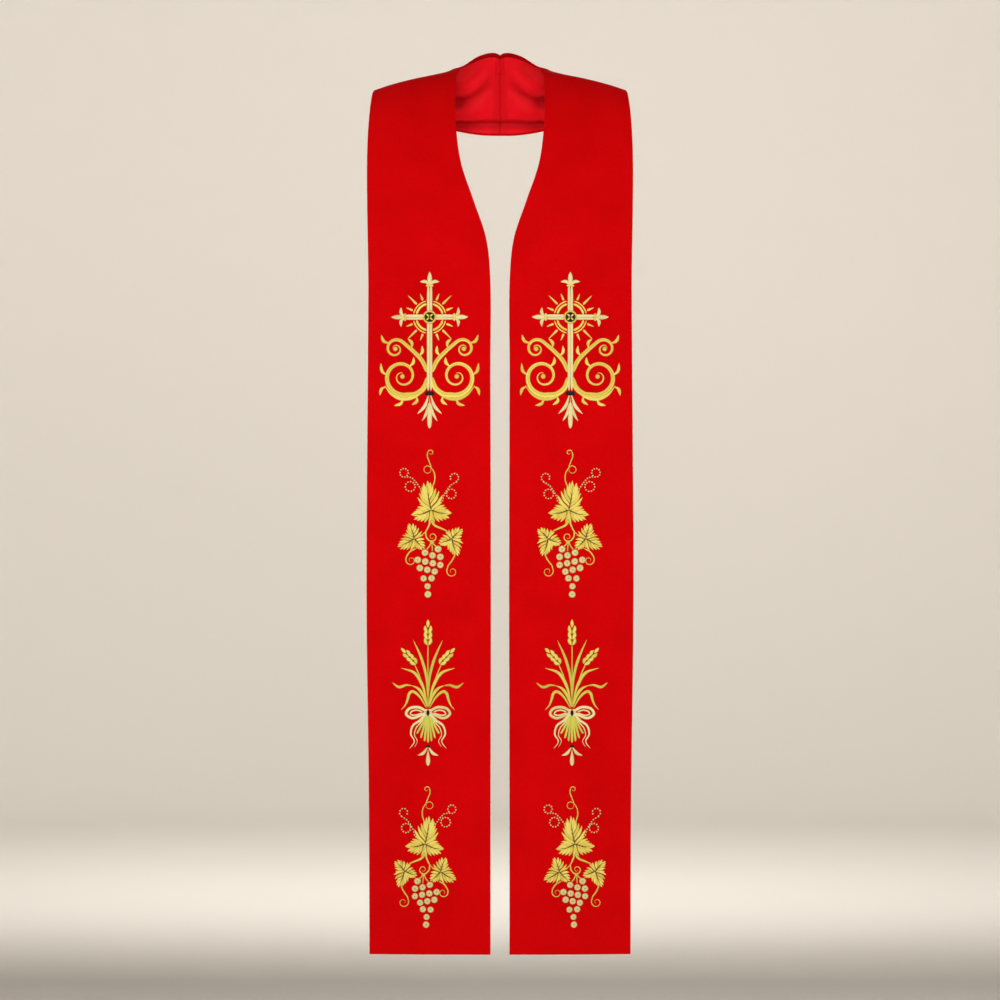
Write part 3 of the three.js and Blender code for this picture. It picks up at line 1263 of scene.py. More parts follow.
class Taper(Enum):
    """How a stroke's width changes from its start to its tip."""

    EVEN = "even, with round ends"
    ALMOND = "pointed at both ends"
    BLADE = "narrow at the root, pointed at the tip"
    FINGER = "narrow at the root, with a round tip"
    LENS = "narrow at the root, full past the middle, with a short point"
    DROP = "pointed at the root, with a full round tip"
    FADE = "full at the root, pointed at the tip"

    def at(self, share: Array) -> Array:
        """The width, from 0 to 1, at shares of the way along.

        Args:
            share: shares of the way along the stroke.

        Returns:
            The width at each, an array of share's shape.
        """
        ends = np.clip(1 - np.abs(2 * share - 1) ** 14, 0, 1) ** 0.5
        if self is Taper.ALMOND:
            return np.sin(np.pi * share) ** 0.8
        if self is Taper.BLADE:
            return np.clip(0.25 + 1.7 * share, 0, 1) * np.clip(2.8 * (1 - share), 0, 1) ** 0.7
        if self is Taper.FINGER:
            return (0.42 + 0.58 * smoothstep(share / 0.6)) * np.clip(1 - share**5, 0, 1) ** 0.6
        if self is Taper.LENS:
            return (0.52 + 0.48 * smoothstep(share / 0.5)) * np.clip(1 - share**3.2, 0, 1) ** 0.85
        if self is Taper.DROP:
            return smoothstep(share / 0.75) * np.clip(1 - share**8, 0, 1) ** 0.5
        if self is Taper.FADE:
            return ends * (1 - 0.82 * share**1.5)
        return ends


@dataclass(frozen=True)
class Stroke:
    """One bar of satin stitch: its path in the design's plane, its half width and how far it is raised."""

    path: Array
    half_width: Array
    lift: float = 0.0

    def mirrored(self) -> "Stroke":
        """The same stroke on the other side of the design's middle."""
        return Stroke(self.path * np.array([-1, 1]), self.half_width, self.lift)


def through(*points: tuple[float, float], samples: int = 36) -> Array:
    """A smooth path through points given in millimetres."""
    return SmoothPath(np.array(points) * MM).at(np.linspace(0, len(points) - 1, samples))


def spiral(centre: tuple[float, float], start: float, end: float, angle: float, turns: float) -> Array:
    """A curl that winds in from one radius to another.

    Args:
        centre: its middle, in millimetres.
        start: its first radius, in millimetres.
        end: its last radius, in millimetres.
        angle: where it starts, in degrees.
        turns: how many turns it makes, below zero for clockwise.

    Returns:
        Its path in metres.
    """
    share = np.linspace(0, 1, max(int(abs(turns) * 40), 12))
    radius = start + (end - start) * share**0.85
    bearing = np.radians(angle) + 2 * np.pi * turns * share
    points = np.stack([centre[0] + radius * np.cos(bearing), centre[1] + radius * np.sin(bearing)], axis=1)
    return points * MM


def stroke(path: Array, half_width: float, taper: Taper, lift: float = 0.0) -> Stroke:
    """A stroke along a path in metres.

    Args:
        path: the path.
        half_width: its greatest half width, in millimetres.
        taper: how the width changes.
        lift: how far it is raised, in millimetres.

    Returns:
        The stroke.
    """
    steps = np.concatenate([[0.0], np.cumsum(np.linalg.norm(np.diff(path, axis=0), axis=1))])
    width = taper.at(steps / steps[-1]) * half_width
    return Stroke(path, np.maximum(width, 0.06) * MM, lift * MM)


def twin(path: Array, half_width: float, taper: Taper, lift: float) -> list[Stroke]:
    """Two columns of stitches side by side along one path, with a groove between them.

    Args:
        path: the line between the columns, in metres.
        half_width: each column's greatest half width, in millimetres.
        taper: how the width changes.
        lift: how far both are raised, in millimetres.

    Returns:
        The two columns.
    """
    columns = []
    heading = np.gradient(path, axis=0)
    sideways = np.stack([-heading[:, 1], heading[:, 0]], axis=1)
    sideways /= np.linalg.norm(sideways, axis=1, keepdims=True)
    for hand in (1, -1):
        column = stroke(path, half_width, taper, lift)
        shift = sideways * column.half_width[:, None] * 0.94 * hand
        columns.append(Stroke(path + shift, column.half_width, column.lift))
    return columns


def both_sides(strokes: list[Stroke]) -> list[Stroke]:
    """Strokes with their mirror images."""
    return strokes + [each.mirrored() for each in strokes]


def turned(point: tuple[float, float], bearing: float, reach: float) -> tuple[float, float]:
    """The point that lies at a bearing in degrees and a reach from another."""
    return (
        point[0] + reach * math.cos(math.radians(bearing)),
        point[1] + reach * math.sin(math.radians(bearing)),
    )


@dataclass(frozen=True)
class Dots:
    """Round padded dots, such as berries: rows (x, y) in millimetres, and their radius."""

    places: tuple[tuple[float, float], ...]
    radius: float


class EmbroideryRecipes:
    """The trees that turn flat designs into raised thread on the cloth."""

    LAID = {"centre_x": 0.0, "centre_z": 0.0, "side": 1.0, "cloth": "object"}

    def __init__(self) -> None:
        """Builds each tree once."""
        self.satin = self.satin_stroke()
        self.dots = self.padded_dots()
        self.running = self.running_stitch(is_laid=True)
        self.felling = self.running_stitch(is_laid=False)

    def satin_stroke(self) -> Recipe:
        """Satin stitch: a low dome swept along each spline, as wide as the spline's radius says.

        Returns:
            The tree.
        """
        recipe = Recipe("satin_stroke", step=0.0009, crown=0.30, sides=12, seed=11, **self.LAID)
        given = recipe.given
        curve = recipe.out(
            "GeometryNodeResampleCurve", {"Curve": given[0], "Length": given["step"]}, mode="LENGTH"
        )
        curve = recipe.out("GeometryNodeSetCurveNormal", {"Curve": curve}, mode="Z_UP")
        curve = recipe.store(curve, "along", recipe.add("GeometryNodeSplineParameter").outputs["Length"])
        shade = recipe.add("FunctionNodeRandomValue", {"Seed": given["seed"]}, data_type="FLOAT")
        curve = self.shade_per_spline(recipe, curve, shade)
        ring = recipe.out("GeometryNodeCurvePrimitiveCircle", {"Resolution": given["sides"], "Radius": 1.0})
        height = recipe.math("ABSOLUTE", recipe.split(recipe.position())[1])
        ring = recipe.store(ring, "crown", height)
        squash = recipe.joined(1.0, given["crown"], 1.0)
        ring = recipe.out("GeometryNodeTransform", {"Geometry": ring, "Scale": squash})
        radius = recipe.out("GeometryNodeInputRadius")
        swept = recipe.out(
            "GeometryNodeCurveToMesh", {
                "Curve": curve, "Profile Curve": ring, "Scale": radius, "Fill Caps": True
            }
        )
        recipe.finish(recipe.lay_on_cloth(swept))
        return recipe

    @staticmethod
    def shade_per_spline(recipe: Recipe, curve: Socket, shade: bpy.types.Node) -> Socket:
        """Keeps one random shade on each spline."""
        inputs = {"Geometry": curve, "Name": "shade", "Value": shade.outputs[1]}
        return recipe.out("GeometryNodeStoreNamedAttribute", inputs, data_type="FLOAT", domain="CURVE")

    def padded_dots(self) -> Recipe:
        """Padded dots: a flattened ball on each point, wound with thread from its middle outwards.

        Returns:
            The tree.
        """
        recipe = Recipe(
            "padded_dots", radius=0.0044, crown=0.42, segments=28, rings=12, seed=5, **self.LAID
        )
        given = recipe.given
        inputs = {"Segments": given["segments"], "Rings": given["rings"], "Radius": 1.0}
        ball = recipe.out("GeometryNodeMeshUVSphere", inputs)
        x, y, z = recipe.split(recipe.position())
        reach = recipe.add(
            "ShaderNodeVectorMath", {0: recipe.joined(x, y, 0.0)}, operation="LENGTH"
        ).outputs["Value"]
        ball = recipe.store(ball, "crown", recipe.math("ABSOLUTE", z))
        ball = recipe.store(ball, "along", recipe.math("MULTIPLY", reach, given["radius"]))
        scale = recipe.joined(
            given["radius"], given["radius"], recipe.math("MULTIPLY", given["radius"], given["crown"])
        )
        ball = recipe.out("GeometryNodeTransform", {"Geometry": ball, "Scale": scale})
        size = recipe.add(
            "FunctionNodeRandomValue", {2: 0.95, 3: 1.05, "Seed": given["seed"]}, data_type="FLOAT"
        )
        placed = recipe.out(
            "GeometryNodeInstanceOnPoints", {"Points": given[0], "Instance": ball, "Scale": size.outputs[1]}
        )
        real = recipe.out("GeometryNodeRealizeInstances", {"Geometry": placed})
        recipe.finish(recipe.lay_on_cloth(real))
        return recipe

    def running_stitch(self, is_laid: bool) -> Recipe:
        """Running stitch: short rounded stitches at a pitch along each spline.

        Args:
            is_laid: True for a flat design, and False where the path is already on the cloth.

        Returns:
            The tree.
        """
        laid = self.LAID if is_laid else {}
        name = "running_stitch" if is_laid else "felling_stitch"
        recipe = Recipe(name, pitch=0.0021, stitch=0.0013, thread=0.0005, **laid)
        given = recipe.given
        along = recipe.add(
            "GeometryNodeCurveToPoints", {"Curve": given[0], "Length": given["pitch"]}, mode="LENGTH"
        )
        ball = recipe.out("GeometryNodeMeshUVSphere", {"Segments": 8, "Rings": 6, "Radius": 1.0})
        x, _, _ = recipe.split(recipe.position())
        ball = recipe.store(ball, "crown", 1.0)
        ball = recipe.store(ball, "along", recipe.math("MULTIPLY", x, given["stitch"]))
        half = recipe.math("MULTIPLY", given["stitch"], 0.5)
        scale = recipe.joined(half, given["thread"], given["thread"])
        ball = recipe.out("GeometryNodeTransform", {"Geometry": ball, "Scale": scale})
        turn = recipe.out(
            "FunctionNodeAlignRotationToVector", {"Vector": along.outputs["Tangent"]}, axis="X"
        )
        inputs = {"Points": along.outputs["Points"], "Instance": ball, "Rotation": turn}
        placed = recipe.out("GeometryNodeInstanceOnPoints", inputs)
        if is_laid:
            placed = recipe.lay_on_cloth(recipe.out("GeometryNodeRealizeInstances", {"Geometry": placed}))
        recipe.finish(placed)
        return recipe


def curve_object(name: str, paths: list[tuple[Array, Array]]) -> bpy.types.Object:
    """A curve object with one straight-segment spline for each path.

    Args:
        name: the object's name.
        paths: each path's points, as rows of three coordinates, with the radius at each point.

    Returns:
        The object.
    """
    data = bpy.data.curves.new(name, "CURVE")
    data.dimensions = "3D"
    for points, radius in paths:
        spline = data.splines.new("POLY")
        spline.points.add(len(points) - 1)
        spline.points.foreach_set("co", np.column_stack([points, np.ones(len(points))]).ravel())
        spline.points.foreach_set("radius", np.asarray(radius, float).ravel())
    return add_object(name, data)


@dataclass
class Motif:
    """A design on one front: strokes, dots and running stitches, each in its thread.

    centre_x is measured from the middle of the stole and centre_z is its height in the frame. A flipped
    motif is the mirror image of the one drawn.
    """

    name: str
    side: Side
    centre_x: float
    centre_z: float
    is_flipped: bool = False
    scale: float = 1.0
    turn: float = 0.0  # degrees anticlockwise in the design
    strokes: dict[Thread, list[Stroke]] = field(default_factory=dict)
    dots: dict[Thread, Dots] = field(default_factory=dict)
    running: dict[Thread, list[Array]] = field(default_factory=dict)

    RUNNING_HEIGHT = 0.0004
    RUNNING_SIZES = {"pitch": 0.0034, "stitch": 0.0022, "thread": 0.0010}

    def draw(self) -> None:
        """Fills in the strokes, dots and running stitches."""
        raise NotImplementedError

    def add(self, thread: Thread, *strokes: Stroke) -> None:
        """Adds strokes in a thread."""
        self.strokes.setdefault(thread, []).extend(strokes)

    def arranged(self, points: Array) -> Array:
        """A path of the design, turned and scaled.

        Args:
            points: rows of metres across and up.

        Returns:
            The same rows, turned about the centre of the design and scaled.
        """
        angle = math.radians(self.turn)
        across, up = np.asarray(points).T
        turned_across = across * math.cos(angle) - up * math.sin(angle)
        turned_up = across * math.sin(angle) + up * math.cos(angle)
        return self.scale * np.column_stack([turned_across, turned_up])

    def build(self, recipes: EmbroideryRecipes, cloth: bpy.types.Object) -> list[bpy.types.Object]:
        """Makes the motif's pieces, one for each thread and kind of stitch, on a band's cloth.

        Args:
            recipes: the trees that make the thread.
            cloth: the outer cloth that it is sewn to.

        Returns:
            The finished pieces.
        """
        self.draw()
        hand = self.side.value * (-1 if self.is_flipped else 1)
        placed = {
            "centre_x": self.side.value * self.centre_x,
            "centre_z": self.centre_z,
            "side": float(hand),
            "cloth": cloth,
        }
        pieces = []
        for thread, strokes in self.strokes.items():
            paths = [
                (
                    np.column_stack([self.arranged(each.path), np.full(len(each.path), each.lift)]),
                    each.half_width * self.scale,
                )
                for each in strokes
            ]
            source = curve_object("design", paths)
            pieces.append((recipes.satin, source, thread, "satin", {"crown": thread.padding}))
        for thread, dots in self.dots.items():
            mesh = bpy.data.meshes.new("design")
            places = self.arranged(np.array(dots.places) * MM)
            mesh.from_pydata([(x, y, 0.0) for x, y in places], [], [])
            sizes = {"radius": dots.radius * MM * self.scale}
            pieces.append((recipes.dots, add_object("design", mesh), thread, "dots", sizes))
        for thread, routes in self.running.items():
            paths = [
                (
                    np.column_stack([self.arranged(route), np.full(len(route), self.RUNNING_HEIGHT)]),
                    np.ones(len(route)),
                )
                for route in routes
            ]
            pieces.append(
                (recipes.running, curve_object("design", paths), thread, "running", self.RUNNING_SIZES)
            )
        made = []
        for recipe, source, thread, kind, sizes in pieces:
            name = f"{self.name}_{self.side.word}_{thread.name.lower()}_{kind}"
            piece = recipe.make(source, name, finish=thread.material, **placed, **sizes)
            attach(piece, BODY)
            LOG.info("%s: %d faces", piece.name, len(piece.data.polygons))
            made.append(piece)
        return made


@dataclass(frozen=True)
class Vein:
    """A main vein of a vine leaf: its bearing in degrees, and its length and bend in millimetres."""

    bearing: float
    length: float
    bend: float = 0.0


@dataclass(frozen=True)
class VineLeaf:
    """A vine leaf worked in satin-stitch fingers that fan out from its main veins."""

    junction: tuple[float, float]
    veins: tuple[Vein, ...]
    fingers: int
    finger_half: float
    reach: float  # length of the longest finger as a share of its vein

    def draw(self, motif: Motif) -> None:
        """Adds the leaf to a motif: an underlay that is partly painted shade, the fingers, and the dark veins
        on top.

        Args:
            motif: the design to add to.
        """
        bearings = [vein.bearing for vein in self.veins]
        for vein in self.veins:
            around = [(other - vein.bearing) % 360 for other in bearings if other != vein.bearing]
            gaps = {1: min(around), -1: 360 - max(around)}
            tip = turned(self.junction, vein.bearing, vein.length)
            middle = turned(self.junction, vein.bearing, vein.length * 0.5)
            middle = turned(middle, vein.bearing + 90, vein.bend)
            path = through(self.junction, middle, tip)
            motif.add(Thread.OLIVE, stroke(path[:32], vein.length * 0.17, Taper.ALMOND))
            for hand, gap in gaps.items():
                self.draw_fingers(motif, vein, path, hand, gap / 2)
            motif.add(Thread.GOLD, stroke(path[19:], self.finger_half * 1.05, Taper.LENS, 0.30))
            motif.add(Thread.DARK, stroke(path[:31], 0.80, Taper.FADE, 1.15))

    def draw_fingers(self, motif: Motif, vein: Vein, path: Array, hand: int, half_gap: float) -> None:
        """Adds the fingers on one hand of a vein, long near the junction and short near the tip.

        Args:
            motif: the design to add to.
            vein: the vein that the fingers leave.
            path: the vein's path, in metres.
            hand: 1 for the anticlockwise side of the vein and -1 for the other.
            half_gap: half the angle to the next vein on that side.
        """
        for number in range(self.fingers):
            share = number / self.fingers
            root = tuple(path[int((0.02 + 0.66 * share) * (len(path) - 1))] / MM)
            bearing = vein.bearing + hand * half_gap * (0.84 - 0.64 * share)
            length = vein.length * self.reach * (1.06 - 0.46 * share)
            middle = turned(turned(root, bearing, length * 0.5), bearing - 90 * hand, -0.07 * length)
            tip = turned(root, bearing, length)
            finger = through(root, middle, tip, samples=14)
            motif.add(Thread.GOLD, stroke(finger, self.finger_half, Taper.LENS, 0.12 + 0.22 * (number % 2)))
            # the olive underlay of the finger, which shows as painted shade in the gaps
            under = through(root, middle, turned(root, bearing, length * 0.86), samples=14)
            motif.add(Thread.OLIVE, stroke(under, self.finger_half * 1.18, Taper.FINGER))


@dataclass(frozen=True)
class BerryRow:
    """A row of berries: how many, where the first one is, and the steps to the next, in millimetres."""

    count: int
    first: tuple[float, float]
    step: tuple[float, float]


@dataclass
class GrapeVine(Motif):
    """A bunch of grapes under three vine leaves, with curling tendrils."""

    BERRIES = (
        BerryRow(2, (-6.6, -37.0), (17.0, 4.6)),
        BerryRow(2, (3.2, -40.6), (10.2, -2.0)),
        BerryRow(4, (-16.0, -46.4), (9.8, -2.2)),
        BerryRow(3, (-13.2, -57.0), (9.6, -2.3)),
        BerryRow(2, (-8.4, -70.6), (10.4, 0.2)),
        BerryRow(1, (-3.2, -80.8), (0.0, 0.0)),
        BerryRow(1, (-2.8, -91.2), (0.0, 0.0)),
    )
    LEAVES = (
        VineLeaf(
            (1.6, 18.4), (Vein(97, 38.5, 1.6), Vein(193, 27.0, 2.2), Vein(-8, 27.0, -2.2)), 5, 2.55, 0.60
        ),
        VineLeaf(
            (-20.4, -18.6),
            (Vein(110, 21.0, -0.8), Vein(206, 24.5, 1.0), Vein(-44, 19.0, -1.0)),
            4, 1.95, 0.62,
        ),
        VineLeaf(
            (28.4, -18.8), (Vein(42, 18.8, 0.8), Vein(199, 18.5, 0.8), Vein(-70, 24.0, -1.2)), 4, 1.95, 0.62
        ),
    )

    def draw(self) -> None:
        """Draws the stems, tendrils, leaves and berries."""
        self.draw_stems()
        for leaf in self.LEAVES:
            leaf.draw(self)
        self.dots[Thread.BERRY] = Dots(
            tuple(
                (row.first[0] + i * row.step[0], row.first[1] + i * row.step[1])
                for row in self.BERRIES
                for i in range(row.count)
            ),
            4.45,
        )

    def draw_stems(self) -> None:
        """Draws what the leaves and the bunch hang from, and the curls."""
        add, stem = self.add, Thread.STEM
        top_curl = np.vstack(
            [through((3.0, 48), (6.2, 58), (5.4, 67), (0.8, 74.5)), spiral((-3.2, 71.0), 5.0, 4.4, 35, 1.0)]
        )
        add(stem, stroke(top_curl, 0.85, Taper.FADE, 0.10))
        add(stem, stroke(through((1.6, 74.0), (-1.4, 82), (-3.6, 89), (-2.6, 94.6)), 0.80, Taper.EVEN, 0.1))
        add(stem, stroke(spiral((1.0, 93.0), 3.9, 1.6, 158, -0.9), 0.75, Taper.FADE, 0.1))
        add(
            stem,
            stroke(through((0.4, 3.4), (-2.8, -4.6), (-6.4, -10.4), (-11.8, -14.6)), 1.25, Taper.FADE, 0.1),
        )
        add(
            stem,
            stroke(
                through((1.4, 5.0), (6.0, -1.4), (14.4, -5.4), (22.4, -9.4), (25.6, -14.0)),
                1.75, Taper.FADE, 0.15,
            ),
        )
        small = np.vstack(
            [
                through((-5.6, -9.8), (-5.0, -16.4), (-1.4, -21.2)),
                spiral((3.0, -16.4), 6.2, 1.6, -122, 1.25),
            ]
        )
        add(stem, stroke(small, 1.05, Taper.FADE, 0.12))
        for x, y in ((-4.4, -33.0), (3.0, -35.4), (8.4, -29.4)):
            add(
                stem,
                stroke(
                    through((2.0, -22.6), ((x + 2.6) / 2, (y - 24.0) / 2), (x, y)), 0.75, Taper.EVEN, 0.1
                ),
            )
        add(stem, stroke(through((0.2, -22.0), (2.2, -24.6), (5.2, -23.0)), 1.6, Taper.ALMOND, 0.25))
        left = np.vstack(
            [
                through((-18.4, -31.6), (-26.0, -35.6), (-31.2, -43.0)),
                spiral((-24.8, -47.0), 7.2, 1.7, 148, 1.25),
            ]
        )
        add(stem, stroke(left, 1.0, Taper.FADE, 0.1))
        right = np.vstack(
            [
                through((33.4, -37.0), (29.6, -45.6), (23.4, -54.0)),
                spiral((28.8, -61.6), 7.6, 1.7, 146, 1.3),
            ]
        )
        add(stem, stroke(right, 1.0, Taper.FADE, 0.1))
        self.running[Thread.CREAM] = [
            np.vstack(
                [
                    through((-10.0, 43.0), (-14.6, 49.6), (-19.6, 56.2), (-24.0, 60.4), (-30.4, 61.6)),
                    spiral((-33.6, 67.0), 5.9, 5.2, -98, -0.85),
                ]
            ),
            spiral((-25.8, 49.0), 6.4, 6.4, 52, 0.92),
            np.vstack(
                [
                    through((16.0, 30.6), (18.0, 37.6), (22.2, 44.6)),
                    through((22.2, 44.6), (26.8, 50.4), (34.0, 54.8)),
                ]
            ),
            spiral((31.4, 60.6), 6.0, 5.0, -58, 0.72),
            spiral((27.6, 39.4), 6.2, 6.2, 150, -0.94),
        ]


@dataclass
class WheatSheaf(Motif):
    """Three ears of wheat and ten blades in a sheaf, tied with a pale bow."""

    @dataclass(frozen=True)
    class Blade:
        """A blade by its route and half width in millimetres. Its mirror image is drawn too."""

        route: Route
        half_width: float

    BLADES = (
        Blade(((0.4, -6), (2.6, 22), (8.6, 44), (19.2, 68)), 1.9),
        Blade(((1.2, -15), (7.0, 8), (17.6, 25), (35.0, 31.4)), 2.2),
        Blade(((1.4, -18), (7.0, -3), (13.4, 5), (21.4, 8.6)), 2.1),
        Blade(((21.0, 8.4), (28.0, 9.2), (38.0, 6.6), (46.4, 12.4)), 1.9),
        Blade(
            (
                (2.4, -20), (8.6, -9), (15.5, -1.4), (21, 0.8), (24.6, -2.4), (26.4, -9), (29.6, -17),
                (35, -23.2),
            ),
            1.9,
        ),
    )

    def draw(self) -> None:
        """Draws the blades, stems and ears, then the tie."""
        for blade in self.BLADES:
            strokes = [stroke(through(*blade.route), blade.half_width, Taper.BLADE, 0.15)]
            self.add(Thread.STEM, *both_sides(strokes))
        stems = [through((0.8, -20), (5.6, 4), (11.4, 22), (17.6, 36.4))]
        self.add(Thread.STEM, *both_sides([stroke(path, 0.75, Taper.EVEN, 0.1) for path in stems]))
        self.add(Thread.STEM, stroke(through((0, -20), (0.1, 20), (0, 62)), 0.85, Taper.EVEN, 0.2))
        self.draw_ear((0.0, 60.5), 90, 34.0)
        self.draw_ear((15.2, 36.2), 47, 29.0)
        self.draw_ear((-15.2, 36.2), 133, 29.0)
        self.draw_tie()

    def draw_ear(self, base: tuple[float, float], bearing: float, length: float) -> None:
        """Adds one ear: pairs of grains up its stalk and one at the top.

        Args:
            base: its lowest point, in millimetres.
            bearing: which way it points, in degrees.
            length: its length, in millimetres.
        """
        pairs = 3
        grain = length * 0.33
        for number in range(pairs):
            on_stalk = turned(base, bearing, length * (0.01 + 0.225 * number))
            for hand in (1, -1):
                root = turned(on_stalk, bearing + 90 * hand, 0.2)
                middle = turned(turned(root, bearing + 25 * hand, grain * 0.5), bearing + 90 * hand, 0.6)
                tip = turned(root, bearing + 18 * hand, grain)
                path = through(root, middle, tip, samples=16)
                self.add(Thread.GOLD, stroke(path, 2.35, Taper.ALMOND, 0.2 + 0.1 * number))
                # a wider olive underlay under the grain, which shows as painted shade round it
                self.add(Thread.OLIVE, stroke(path, 2.85, Taper.ALMOND, 0.1))
                seam = through(root, turned(on_stalk, bearing, grain * 0.62), samples=8)
                self.add(Thread.DARK, stroke(seam, 0.34, Taper.FADE, 0.55 + 0.1 * number))
        top = turned(base, bearing, length * 0.69)
        path = through(top, turned(top, bearing, length * 0.31), samples=16)
        self.add(Thread.GOLD, stroke(path, 2.3, Taper.ALMOND, 0.6))

    def draw_tie(self) -> None:
        """Adds the cut ends of the straw under the tie, and the bow."""
        for number, spread in enumerate((0.0, 4.6, 9.4, 14.6)):
            end = (spread, -66.0 + 0.16 * spread**1.6)
            path = through((0.35 * spread / 2, -22.0), (0.42 * spread, -38.0), end)
            strokes = [stroke(path, 1.55, Taper.EVEN, 0.05 + 0.06 * number)]
            self.add(Thread.STEM, *(both_sides(strokes) if number else strokes))
        for number in range(3):
            height = -22.6 - 3.1 * number
            band = through((-5.4, height - 0.5), (0, height - 1.3), (5.4, height - 0.5))
            self.add(Thread.PALE, stroke(band, 1.65, Taper.EVEN, 0.55))
        loop = through(
            (2.0, -25.4), (12.0, -19.8), (24.6, -21.6), (28.4, -28.6), (20.6, -33.8), (9.4, -30.2),
            (2.2, -26.6),
        )
        inner = through(
            (7.0, -25.8), (14.4, -23.4), (21.6, -25.4), (22.8, -28.8), (18.0, -30.2), (10.8, -28.4),
            (7.2, -26.6),
        )
        tail = through(
            (3.0, -28.8), (10.6, -37.0), (19.4, -43.4), (22.4, -54.6), (17.8, -64.2), (24.0, -73.6)
        )
        fold = through(
            (4.4, -30.8), (9.4, -39.6), (15.4, -46.6), (17.6, -56.0), (13.8, -64.0), (18.0, -72.0)
        )
        bow = [
            stroke(loop, 1.9, Taper.EVEN, 0.45),
            stroke(inner, 1.0, Taper.EVEN, 0.35),
            stroke(tail, 1.9, Taper.FADE, 0.40),
            stroke(fold, 1.0, Taper.FADE, 0.30),
        ]
        self.add(Thread.PALE, *both_sides(bow))
        knot = through((0.0, -22.4), (0.0, -31.6), samples=12)
        self.add(Thread.BLACK, stroke(knot, 2.2, Taper.ALMOND, 0.95))
        drop = [stroke(through((1.0, -72.0), (6.2, -79.4), (13.4, -82.6)), 2.1, Taper.BLADE, 0.2)]
        self.add(
            Thread.PALE,
            stroke(through((0, -72), (0, -96), samples=20), 3.1, Taper.DROP, 0.25),
            *both_sides(drop),
        )
        self.add(
            Thread.BLACK, stroke(through((-3.4, -70.4), (3.4, -70.4), samples=10), 1.5, Taper.EVEN, 0.4)
        )


